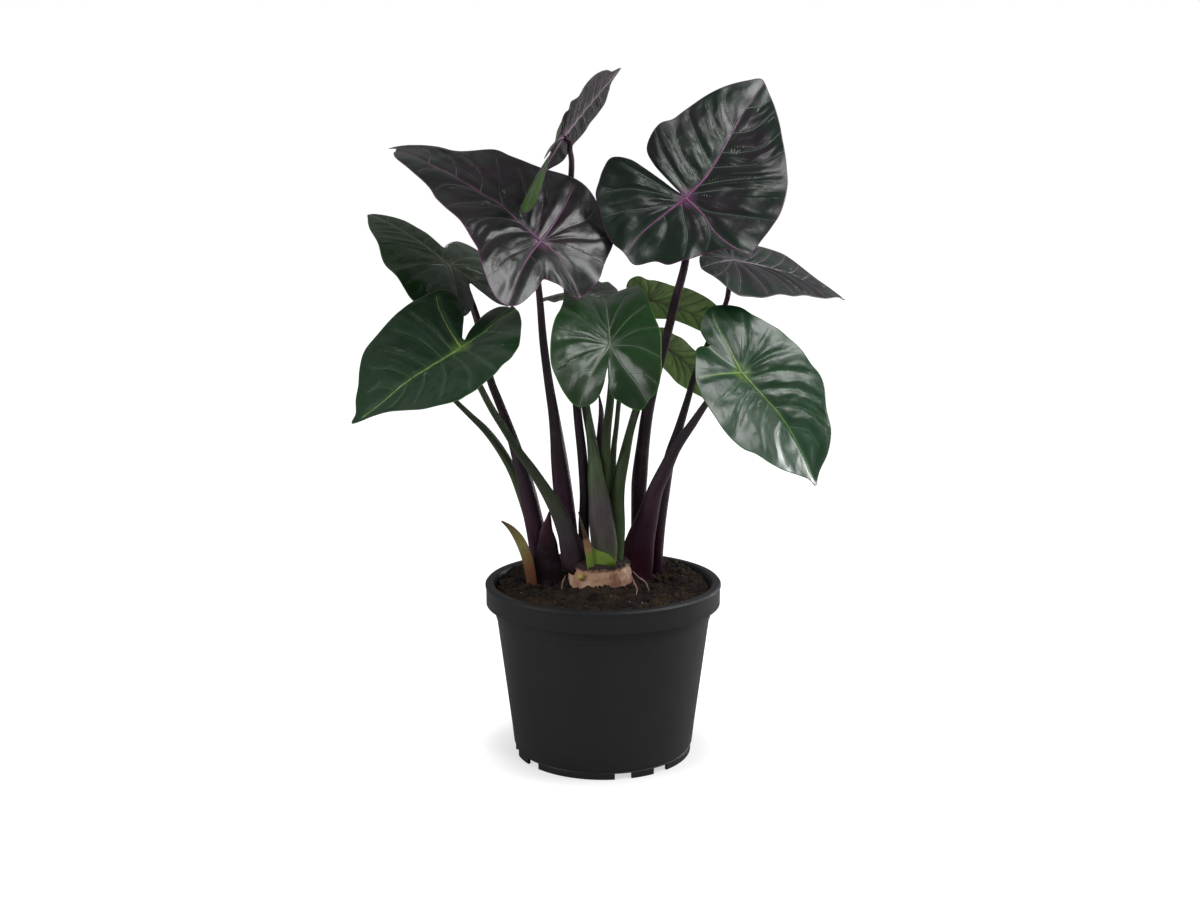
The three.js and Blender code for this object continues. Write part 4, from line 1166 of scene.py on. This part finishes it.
WINE = stalk_finish("stalk_wine", [(0.02, 0x2A101E), (0.18, 0x44203A), (0.36, 0x36222F), (0.7, 0x2E2027),
                                   (1, 0x5A3050)])
INKY = stalk_finish("stalk_inky", [(0.02, 0x200E18), (0.3, 0x30202C), (0.7, 0x2A1E24), (1, 0x4A2A40)])
OLIVE = stalk_finish("stalk_olive", [(0.02, 0x4E6A36), (0.3, 0x4E6238), (0.6, 0x46563A), (1, 0x3E4A30)], 0.42)
DUSKY = stalk_finish("stalk_dusky", [(0.02, 0x36242E), (0.14, 0x4A3E48), (0.3, 0x46503A), (0.6, 0x3E4C34),
                                     (1, 0x4E6238)], 0.42)
MOSSY = stalk_finish("stalk_mossy", [(0.02, 0x7A9048), (0.08, 0x5E5C50), (0.2, 0x5E5258), (0.34, 0x566A48),
                                     (0.6, 0x54664A), (1, 0x4E6244)], 0.42, 0.3)
MAUVE = stalk_finish("stalk_mauve", [(0.02, 0x2E0E20), (0.16, 0x46182F), (0.34, 0x56344A), (0.6, 0x4A3C46),
                                     (1, 0x564A50)])
PLUM = stalk_finish("sheath_plum", [(0.0, 0x14080E), (0.55, 0x220E1A), (0.8, 0x46182F), (1, 0x5A2038)])
DRY = stalk_finish("sheath_dry", [(0.0, 0x5A2A2A), (0.35, 0x8A5A3A), (0.6, 0xA0985A), (1, 0x6A4A30)], 0.6)
TAN = stalk_finish("sheath_tan", [(0.0, 0x7E9E3C), (0.28, 0x8AA048), (0.34, 0xB08A68), (0.5, 0xA07C5C),
                                  (0.56, 0x4A3A2A), (1, 0x6A5A3A)], 0.7)
LIME = stalk_finish("bract_lime", [(0.0, 0x7E9E3C), (0.5, 0x8EAC44), (1, 0x5E7A30)], 0.5, 0.15)

STALK_LOOKS = {
    "01": (INKY, "petiole_dark"), "02": (WINE, "petiole_dark"), "03": (WINE, "petiole_dark"),
    "04": (WINE, "petiole_dark"), "05": (DUSKY, "petiole_dark"), "06": (OLIVE, "petiole_olive"),
    "07": (WINE, "petiole_dark"), "08": (MAUVE, "petiole_mauve"), "09": (OLIVE, "petiole_olive"),
    "10": (OLIVE, "petiole_olive"), "11": (MOSSY, "petiole_olive"), "12": (OLIVE, "petiole_olive"),
}


def make_stalk(leaf):
    number = leaf["number"]
    up = blade_axes(leaf)[2]
    tip = leaf["petiole"][-1][3]
    neck = [(*(np.array(leaf["attach"]) - up * away), radius)
            for away, radius in ((NECK, tip), (NECK_GAP, tip * 0.9))]
    material, slot = STALK_LOOKS[number]
    piece = tube_piece("stalk_" + number, [*leaf["petiole"], *neck], STALK_DEPTH, material)
    return settle(piece, slot, f"leaf_{number}_petiole")


stalks = [make_stalk(leaf) for leaf in LEAVES]
print("stalks:", len(stalks))

# %% Sheaths at the foot
SHEATHS = [
    ("rolled_leaf", "rolled_leaf_tip", 5, INKY, "petiole_dark",
     [(-7, 37, 188, 4.4), (-7, 38, 232, 4.6), (-6, 38, 264, 4.6), (-4, 36, 301, 4.2),
      (-3, 32, 328, 3.1), (-2, 29, 347, 2.6), (-4, 27, 364, 0.8)]),
    ("purple_sheath", "cataphyll_purple", 1.4, PLUM, "sheath_purple",
     [(-58, 16, 158, 15), (-57, 16, 184, 14.5), (-58, 16, 196, 13.5), (-57, 16, 212, 10),
      (-58, 16, 226, 6.5), (-56, 16, 238, 3), (-55, 16, 246, 0.8)]),
    ("dry_sheath", "cataphyll_dry", 1.2, DRY, "sheath_dry",
     [(-72, 11, 158, 5), (-75, 11, 184, 5.5), (-79, 11, 201, 5.5), (-86, 11, 218, 5),
      (-95, 11, 230, 3), (-104, 11, 237, 0.8)]),
    ("tan_flap", "cataphyll_strip", 0.9, TAN, "sheath_dry",
     [(-12, -8.6, 190, 3.6), (-14, -8.6, 206, 4), (-17, -8.6, 222, 3.4), (-21, -8.6, 236, 1.6),
      (-25, -8.6, 251, 0.5)]),
    ("green_bract", "bract_green", 0.6, LIME, "bract",
     [(-3, -6.4, 191, 17), (-4, -6.4, 196, 15.5), (-8, -6.4, 202, 11), (-12, -6.4, 209, 5.5),
      (-15, -6.4, 216, 0.6)]),
]
for name, node, depth, material, slot, route in SHEATHS:
    settle(tube_piece(name, route, depth, material), slot, node)
print("sheaths:", len(SHEATHS))

# %% [markdown]
# ## The pot
# The pot is a moulded shell, so it is one profile turned round its axis. The CAD solid has 48 flat
# sides, which would show at the rim, so a finer one replaces it. The notches at the foot are cut
# with a Boolean, and a small bevel lets every moulded edge catch the light.

# %% Pot
POT_SIDES = 160
POT_PROFILE = [
    (0, 0), (66, 0), (69, 6.5), (87.8, 6.5), (87.8, 0), (90.6, 0), (90.8, 6.4), (90.2, 7), (90.4, 8.4),
    (92.2, 10.5), (93.9, 26), (105.1, 114.5), (108.7, 142.6), (109.6, 143.4), (110.6, 156), (112.4, 172.6),
    (117.5, 172.6), (117.5, 156.6), (119.2, 156.6), (119.2, 173.8), (120, 174.6), (120, 176.6),
    (118.4, 178.5), (112.3, 178.5), (110.7, 176.6), (110.1, 170), (108.7, 156), (106.8, 142),
    (103.4, 114.5), (92.2, 26), (90.6, 11.5), (88.6, 8.5), (68, 8.5), (65, 2), (0, 2),
]
NOTCHES = [quarter + turn for quarter in (0, 90, 180, 270) for turn in (12.6, 39)]
NOTCH = (17, 12, 6)  # width, depth and height
NOTCH_REACH = 90  # from the pot's axis to a notch's middle


def turned(profile, sides):
    """A profile of (radius, height), from axis to axis, turned into a closed shell, in metres."""
    angle = 2 * np.pi * np.arange(sides) / sides
    inner = np.array(profile[1:-1], float)
    ring = np.stack([np.cos(angle), np.sin(angle)], axis=1)
    body = np.concatenate([inner[:, None, :1] * ring[None], np.repeat(inner[:, None, 1:], sides, 1)], axis=2)
    points = np.vstack([body.reshape(-1, 3), [0, 0, profile[0][1]], [0, 0, profile[-1][1]]]) * MM
    return points, capped(len(inner), sides)


def cut_notches(pot):
    width, depth, height = NOTCH
    for degrees in NOTCHES:
        bpy.ops.mesh.primitive_cube_add(size=1)
        cutter = bpy.context.object
        cutter.scale = (width * MM, depth * MM, 2 * height * MM)
        turn = math.radians(degrees)
        cutter.location = (NOTCH_REACH * MM * math.sin(turn), -NOTCH_REACH * MM * math.cos(turn), 0)
        cutter.rotation_euler = (0, 0, turn)
        modifier = pot.modifiers.new("notch", "BOOLEAN")
        modifier.object = cutter
        modifier.operation = "DIFFERENCE"
        bpy.context.view_layer.objects.active = pot
        bpy.ops.object.modifier_apply(modifier="notch")
        bpy.data.objects.remove(cutter)


def pot_finish():
    material, wire = start_material("black_plastic")
    place = place_on(wire)
    stretched = wire.node("ShaderNodeMapping", None, {"Vector": place, "Scale": (1, 1, 0.25)})
    grain = noise(wire, place, 900, 2)
    flow = noise(wire, stretched, 14, 3)
    scuffs = noise(wire, stretched, 120, 5, 0.7)
    colour = mix(smooth(flow, 0.3, 0.75), linear(0x232326), linear(0x2A2A2D))
    colour = mix(smooth(scuffs, 0.66, 0.8) * 0.18, colour, linear(0x6A6A6E))
    normal = bump(wire, grain, 0.06 * MM)
    roughness = flow * 0.14 + 0.38 + smooth(scuffs, 0.6, 0.8) * 0.08
    constants = {"Specular IOR Level": 0.35}
    return finish_material(material, constants, Base_Color=colour, Roughness=roughness, Normal=normal)


pot_points, pot_faces = turned(POT_PROFILE, POT_SIDES)
pot = make_object("black_pot", pot_points, pot_faces, [pot_finish()])
cut_notches(pot)
edge = pot.modifiers.new("moulded_edges", "BEVEL")
edge.width = 0.5 * MM
edge.segments = 2
edge.limit_method = "ANGLE"
edge.angle_limit = math.radians(35)
pot.data.shade_smooth()
settle(pot, "pot", "pot")
print("pot faces:", len(pot.data.polygons))

# %% [markdown]
# ## The corm
# The corm is the plant's short trunk: squat, ringed, pale brown and cracked where its skin has
# dried, with a dark ragged scar round its shoulder. It is swept like the pot but lumpy, and its
# skin is bump and colour read from the place on the object.

# %% Corm
CORM_CENTRE = (-4, 20)
CORM_PROFILE = [  # height and radius
    (150, 22), (158, 28), (166, 32), (176, 33), (184, 31.5), (188, 30), (191, 31), (195, 28.5),
    (198.5, 22),
]
SCAR_HEIGHT = 191
SCAR_SPREAD = 3.5
CORM_SIDES = 120


def corm_points():
    line = smooth_curve(np.array(CORM_PROFILE, float), 0.8, False)
    angle = 2 * np.pi * np.arange(CORM_SIDES) / CORM_SIDES
    lumps = 1 + 0.03 * np.sin(3 * angle + 1) + 0.02 * np.sin(5 * angle)
    height = line[:, :1] + 0 * angle
    ripple = 0.3 * np.sin(height * 0.8 + 3 * np.sin(2 * angle)) + 0.35 * np.sin(17 * angle + height * 0.3)
    ragged = 0.8 * np.sin(23 * angle) + 0.6 * np.sin(41 * angle + height)
    scar = np.exp(-(((height - SCAR_HEIGHT) / SCAR_SPREAD) ** 2)) * ragged
    reach = line[:, 1:] * lumps + ripple * 0.5 + scar
    x = CORM_CENTRE[0] + reach * np.cos(angle)
    y = CORM_CENTRE[1] + reach * np.sin(angle)
    return np.stack([x, y, height], axis=-1)


def corm_finish():
    material, wire = start_material("corm_skin")
    place = place_on(wire)
    stretched = wire.node("ShaderNodeMapping", None, {"Vector": place, "Scale": (1, 1, 0.45)})
    height = wire.node("ShaderNodeSeparateXYZ", None, {"Vector": place}, 2)
    fibres = noise(wire, stretched, 70, 5, 0.65)
    blotches = noise(wire, place, 55, 3)
    cracks = noise(wire, place, 260, 4, 0.7)
    ragged = height + (fibres - 0.5) * 9 * MM
    colour = mix(smooth(blotches, 0.35, 0.65), linear(0xC49478), linear(0xE2BEA4))
    colour = mix(smooth(fibres, 0.55, 0.7) * 0.7, colour, linear(0x8A5A40))
    colour = mix(smooth(cracks, 0.6, 0.7) * 0.5, colour, linear(0x4A2E24))
    colour = mix(smooth(ragged, 189 * MM, 192 * MM), colour, linear(0x2E211E))
    normal = bump(wire, fibres, 1.6 * MM)
    normal = bump(wire, cracks, 0.6 * MM, normal)
    return finish_material(material, {"Roughness": 0.75}, Base_Color=colour, Normal=normal)


CORM_SKIN = corm_finish()
grid = corm_points()
rows, sides = grid.shape[:2]
points = np.vstack([grid.reshape(-1, 3), grid[0].mean(0), grid[-1].mean(0)]) * MM
corm = make_object("ringed_corm", points, capped(rows, sides), [CORM_SKIN])
settle(corm, "corm", "corm")
print("corm is", 2 * max(r for _, r in CORM_PROFILE), "mm across")

# %% Nodule and roots
NODULE = ((-22.5, -10.4, 183.5), 3.6)  # a pale bud on the corm's front


def plain_colour(name, code, second, scale=120, rough=0.6):
    material, wire = start_material(name)
    grain = noise(wire, place_on(wire), scale, 3)
    colour = mix(smooth(grain, 0.35, 0.65), linear(code), linear(second))
    normal = bump(wire, grain, 0.4 * MM)
    return finish_material(material, {"Roughness": rough}, Base_Color=colour, Normal=normal)


bpy.ops.mesh.primitive_uv_sphere_add(segments=24, ring_count=14, radius=NODULE[1] * MM)
nodule = bpy.context.object
nodule.data.transform(Matrix.Translation([c * MM for c in NODULE[0]]))
nodule.name = "corm_bud"
nodule.data.materials.append(plain_colour("bud_yellow", 0xC0B45A, 0xA89A4A))
nodule.data.shade_smooth()
settle(nodule, "corm")

ROOTS = [
    [(28, -6, 186, 0.5), (31, -16, 180, 0.9), (34, -26, 175, 0.7), (33, -33, 171, 0.3)],
    [(30, -4, 188, 0.4), (36, -12, 184, 0.7), (43, -18, 180, 0.6), (46, -23, 173, 0.3)],
    [(22, -8, 187, 0.3), (24, -16, 184, 0.5), (19, -22, 181, 0.3)],
    [(-38, -6, 184, 0.4), (-41, -12, 179, 0.8), (-42, -15, 172, 0.5)],
]
ROOT_SKIN = plain_colour("root_pale", 0x8A6A60, 0xB09084)


def root_line(points):
    line = smooth_curve(np.array(points, float), 1.2, False)
    return line[:, :3] * MM, line[:, 3] * MM


roots = tubes("pale_roots", [root_line(root) for root in ROOTS], ROOT_SKIN)
settle(roots, "corm")
print("roots:", len(ROOTS))

# %% [markdown]
# ## Potting mix
# The mix is a dark, crumbly surface. A fine grid carries its swells and hollows, and thousands of
# crumbs lie on it. Crumbs repeat, so Geometry Nodes scatter them: points on the grid, a lumpy ball
# on each, turned and sized at random from a fixed seed.

# %% Soil surface
SOIL_LEVEL = 168
SOIL_RELIEF = 1.3
SOIL_WALL = [  # radius and height
    (0, 2.35), (64.7, 2.35), (67.7, 8.85), (87.8, 8.85), (90.2, 12), (91.8, 26.2), (106.2, 141.8),
    (108.2, 156), (109.4, 165),
]
SOIL_SIDES = 220
SOIL_RINGS = 60
INNERMOST_RING = 1.5


def from_corm(x, y):
    """How far a place is from the corm's axis."""
    return np.hypot(x - CORM_CENTRE[0], y - CORM_CENTRE[1])


def soil_height(x, y):
    """Swells and lumps, with a mound in front of the corm, a heap round it and a bank at the back."""
    front = 3.5 * np.exp(-(((x + 2) / 26) ** 2) - ((y + 18) / 9) ** 2)
    swell = np.sin(x / 17 + 1) * np.cos(y / 21) + 0.5 * np.sin((x - y) / 9)
    lumps = 1.2 * np.sin(x / 4.1 + 2 * np.sin(y / 7)) * np.sin(y / 3.7 + 1)
    lumps += 0.7 * np.sin(x / 2.3) * np.sin(y / 2.6 + x / 5)
    heap = 2.5 * np.exp(-((from_corm(x, y) - 40) / 12) ** 2)
    bank = 8 * np.clip(y / 60, 0, 1) * np.clip((np.hypot(x, y) - 68) / 26, 0, 1)
    return SOIL_LEVEL + SOIL_RELIEF * swell + lumps + heap + bank + front


def soil_finish():
    material, wire = start_material("potting_mix")
    place = place_on(wire)
    grain = noise(wire, place, 420, 5, 0.7)
    patches = noise(wire, place, 45, 3)
    colour = mix(smooth(patches, 0.35, 0.7), linear(0x1E1613), linear(0x42301F))
    colour = mix(smooth(grain, 0.6, 0.78) * 0.7, colour, linear(0x5E4A3C))
    normal = bump(wire, grain, 1.5 * MM)
    return finish_material(material, {"Roughness": 0.92}, Base_Color=colour, Normal=normal)


SOIL_LOOK = soil_finish()
angle = 2 * np.pi * np.arange(SOIL_SIDES) / SOIL_SIDES
ring = np.stack([np.cos(angle), np.sin(angle)], axis=1)
wall = [np.column_stack([ring * r, np.full(SOIL_SIDES, h)]) for r, h in SOIL_WALL[1:]]
top = [ring * r for r in np.linspace(SOIL_WALL[-1][0], INNERMOST_RING, SOIL_RINGS)]
top = [np.column_stack([flat, soil_height(*flat.T)]) for flat in top]
rows = wall + top
points = np.vstack([*rows, [[0, 0, SOIL_WALL[0][1]], [0, 0, SOIL_LEVEL]]]) * MM
faces = capped(len(rows), SOIL_SIDES)
soil = make_object("potting_mix", points, faces, [SOIL_LOOK])
settle(soil, "soil", "soil")
print("soil faces:", len(faces))

# %% Crumbs with Geometry Nodes
FULL_TURN = 6.28
CRUMB_WIDTH = 0.8  # of its length
LUMP_SCALE = 900
LUMP_REACH = 1.6  # how far the noise moves a crumb's points, beside the smallest crumb
BED_REACH = 108
BED_STEP = 3.0
OPEN_SOIL = (27, 107)  # farther than the first from the corm's axis, nearer than the second to the pot's


def crumb_tree():
    inputs = {
        "Density": ("NodeSocketFloat", 1000.0),
        "Smallest": ("NodeSocketFloat", 0.5 * MM),
        "Largest": ("NodeSocketFloat", 2 * MM),
        "Flatness": ("NodeSocketFloat", 0.8),
        "Detail": ("NodeSocketInt", 1),
        "Seed": ("NodeSocketInt", 1),
        "Material": ("NodeSocketMaterial", None),
    }
    tree, start, end = start_tree("crumbs_on_a_surface", inputs)
    scatter = tree.nodes.new("GeometryNodeDistributePointsOnFaces")
    ball = tree.nodes.new("GeometryNodeMeshIcoSphere")
    ball.inputs["Radius"].default_value = 1
    size = add_node(tree, "FunctionNodeRandomValue", data_type="FLOAT")
    turn = add_node(tree, "FunctionNodeRandomValue", data_type="FLOAT_VECTOR")
    turn.inputs[1].default_value = [FULL_TURN] * 3
    shape = tree.nodes.new("ShaderNodeCombineXYZ")
    scale = add_node(tree, "ShaderNodeVectorMath", operation="SCALE")
    instances = tree.nodes.new("GeometryNodeInstanceOnPoints")
    realize = tree.nodes.new("GeometryNodeRealizeInstances")
    lumpy = tree.nodes.new("ShaderNodeTexNoise")
    lumpy.inputs["Scale"].default_value = LUMP_SCALE
    centred = add_node(tree, "ShaderNodeVectorMath", operation="SUBTRACT")
    centred.inputs[1].default_value = (0.5, 0.5, 0.5)
    shift = add_node(tree, "ShaderNodeVectorMath", operation="SCALE")
    reach = add_node(tree, "ShaderNodeMath", operation="MULTIPLY")
    reach.inputs[1].default_value = LUMP_REACH
    move = tree.nodes.new("GeometryNodeSetPosition")
    shape.inputs["X"].default_value = 1
    shape.inputs["Y"].default_value = CRUMB_WIDTH
    for a, b in (
        (start.outputs["Geometry"], scatter.inputs["Mesh"]),
        (start.outputs["Density"], scatter.inputs["Density"]),
        (start.outputs["Seed"], scatter.inputs["Seed"]),
        (start.outputs["Detail"], ball.inputs["Subdivisions"]),
        (start.outputs["Smallest"], size.inputs[2]),
        (start.outputs["Largest"], size.inputs[3]),
        (start.outputs["Seed"], size.inputs["Seed"]),
        (start.outputs["Seed"], turn.inputs["Seed"]),
        (start.outputs["Flatness"], shape.inputs["Z"]),
        (shape.outputs[0], scale.inputs[0]),
        (size.outputs[1], scale.inputs["Scale"]),
        (scatter.outputs["Points"], instances.inputs["Points"]),
        (ball.outputs["Mesh"], instances.inputs["Instance"]),
        (turn.outputs[0], instances.inputs["Rotation"]),
        (scale.outputs[0], instances.inputs["Scale"]),
        (instances.outputs[0], realize.inputs["Geometry"]),
        (realize.outputs[0], move.inputs["Geometry"]),
        (lumpy.outputs["Color"], centred.inputs[0]),
        (centred.outputs[0], shift.inputs[0]),
        (start.outputs["Smallest"], reach.inputs[0]),
        (reach.outputs[0], shift.inputs["Scale"]),
        (shift.outputs[0], move.inputs["Offset"]),
    ):
        tree.links.new(a, b)
    close_tree(tree, move.outputs[0], start.outputs["Material"], end)
    return tree


CRUMBS = crumb_tree()


def bed(name, keep):
    """A sheet of the soil's top, in metres, where keep says so, to scatter things on."""
    step = np.arange(-BED_REACH, BED_REACH + 1, BED_STEP)
    x, y = [axis.ravel() for axis in np.meshgrid(step, step)]
    points = np.column_stack([x, y, soil_height(x, y)]) * MM
    count = len(step)
    faces = np.array(rows_to_faces(count, count, closed=False))
    middle = points[faces].mean(axis=1) / MM
    faces = faces[keep(middle[:, 0], middle[:, 1])]
    return make_object(name, points, faces.tolist(), [])


def open_soil(x, y):
    return (np.hypot(x, y) < OPEN_SOIL[1]) & (from_corm(x, y) > OPEN_SOIL[0])


def scatter(name, keep, material, slot, **values):
    """Scatters crumbs; the words of values are the tree's inputs."""
    named = {key.capitalize(): value for key, value in values.items()}
    piece = grow(bed(name + "_bed", keep), CRUMBS, {**named, "Material": material}, name)
    return settle(piece, slot)


WHITE_GRAIN = plain_colour("perlite_white", 0xCFC8C0, 0x9A9088, 300, 0.8)
BARK = plain_colour("bark_brown", 0x3A251C, 0x241812, 200, 0.9)
crumbs = scatter("soil_crumbs", open_soil, SOIL_LOOK, "soil", density=45000.0,
                 smallest=0.5 * MM, largest=2.4 * MM, flatness=0.8, detail=1, seed=3)
lumps = scatter("soil_lumps", open_soil, SOIL_LOOK, "soil", density=9000.0,
                smallest=2 * MM, largest=5.5 * MM, flatness=0.7, detail=2, seed=8)
chips = scatter("bark_chips", open_soil, BARK, "soil", density=5000.0,
                smallest=0.9 * MM, largest=2.6 * MM, flatness=0.3, detail=1, seed=12)
perlite = scatter("perlite_grains", open_soil, WHITE_GRAIN, "soil", density=1500.0,
                  smallest=0.35 * MM, largest=0.95 * MM, flatness=0.8, detail=1, seed=21)
for piece in (crumbs, lumps, chips, perlite):
    print(piece.name, len(piece.data.polygons))

# %% [markdown]
# ## Floor and light
# The plant stands on a plain pale floor that runs out of sight. The light is a studio's: a large
# soft box at the right and a smaller one at the front right draw the gloss on the leaves, a fill
# from the left softens the shadows, and a low box behind on the right lights the pot's flank.
# Dark, glossy things turn grey when a white room mirrors in them, so floor and sky are white only
# where the camera looks at them, and dim for every other ray of light. Round the pot's foot the
# floor's glow is weaker: a painted shadow.

# %% Stage
FLOOR_SIZE = 30
FLOOR_DROP = 0.2 * MM
ROOM = 0.2  # how bright the sky is for the plant; white is 1
FLOOR_GLOW_AND_PAINTED_SHADOW = (0.6, 1.0)  # added to the floor where the camera sees it, at the pot and far off; the lower one at the pot is a painted shadow round its foot
PAINTED_SHADOW_FADE = (0.085, 0.16)  # metres from the pot's axis over which the painted shadow fades and the glow grows


def floor_finish():
    material, wire = start_material("pale_floor")
    far = wire.node("ShaderNodeVectorMath", {"operation": "LENGTH"}, {0: place_on(wire)}, "Value")
    # The glow is weaker near the pot's axis: a painted shadow round the foot, cast by no lamp.
    glow_with_painted_shadow = smooth(far, *PAINTED_SHADOW_FADE) * (FLOOR_GLOW_AND_PAINTED_SHADOW[1] - FLOOR_GLOW_AND_PAINTED_SHADOW[0]) + FLOOR_GLOW_AND_PAINTED_SHADOW[0]
    seen = wire.node("ShaderNodeLightPath", None, None, "Is Camera Ray")
    constants = {"Base Color": (0.5, 0.5, 0.5, 1), "Roughness": 0.9, "Specular IOR Level": 0,
                 "Emission Strength": 1}
    return finish_material(material, constants, Emission_Color=seen * glow_with_painted_shadow)


half = FLOOR_SIZE / 2
corners = [(x, y, -FLOOR_DROP) for x, y in ((-half, -half), (half, -half), (half, half), (-half, half))]
floor = make_object("floor", corners, [(0, 1, 2, 3)], [floor_finish()])

world = bpy.data.worlds.new("studio")
world.use_nodes = True
sky = Wire(world.node_tree)
seen = sky.node("ShaderNodeLightPath", None, None, "Is Camera Ray")
strength = world.node_tree.nodes["Background"].inputs["Strength"]
world.node_tree.nodes["Background"].inputs["Color"].default_value = (1, 1, 1, 1)
world.node_tree.links.new((seen * (1 - ROOM) + ROOM).socket, strength)
bpy.context.scene.world = world
bpy.context.scene.view_settings.view_transform = "Standard"


def soft_box(name, place, target, size, power):
    data = bpy.data.lights.new(name, "AREA")
    data.shape = "RECTANGLE"
    data.size, data.size_y = size
    data.energy = power
    lamp = bpy.data.objects.new(name, data)
    lamp.location = place
    toward = Vector(target) - Vector(place)
    lamp.rotation_euler = toward.to_track_quat("-Z", "Y").to_euler()
    bpy.context.scene.collection.objects.link(lamp)
    return lamp


LIGHTS = [
    soft_box("key", (1.5, -0.15, 1.5), (0, 0, 0.42), (0.9, 0.9), 17),
    soft_box("front", (1.1, -1.6, 1.95), (0, 0, 0.5), (0.5, 0.6), 11),
    soft_box("left", (-1.7, -0.9, 1.0), (0, 0, 0.3), (0.8, 1.0), 14),
    soft_box("right_strip", (1.3, 0.9, 0.3), (0, 0, 0.1), (0.4, 0.5), 6),
]
print("lights:", [lamp.name for lamp in LIGHTS])
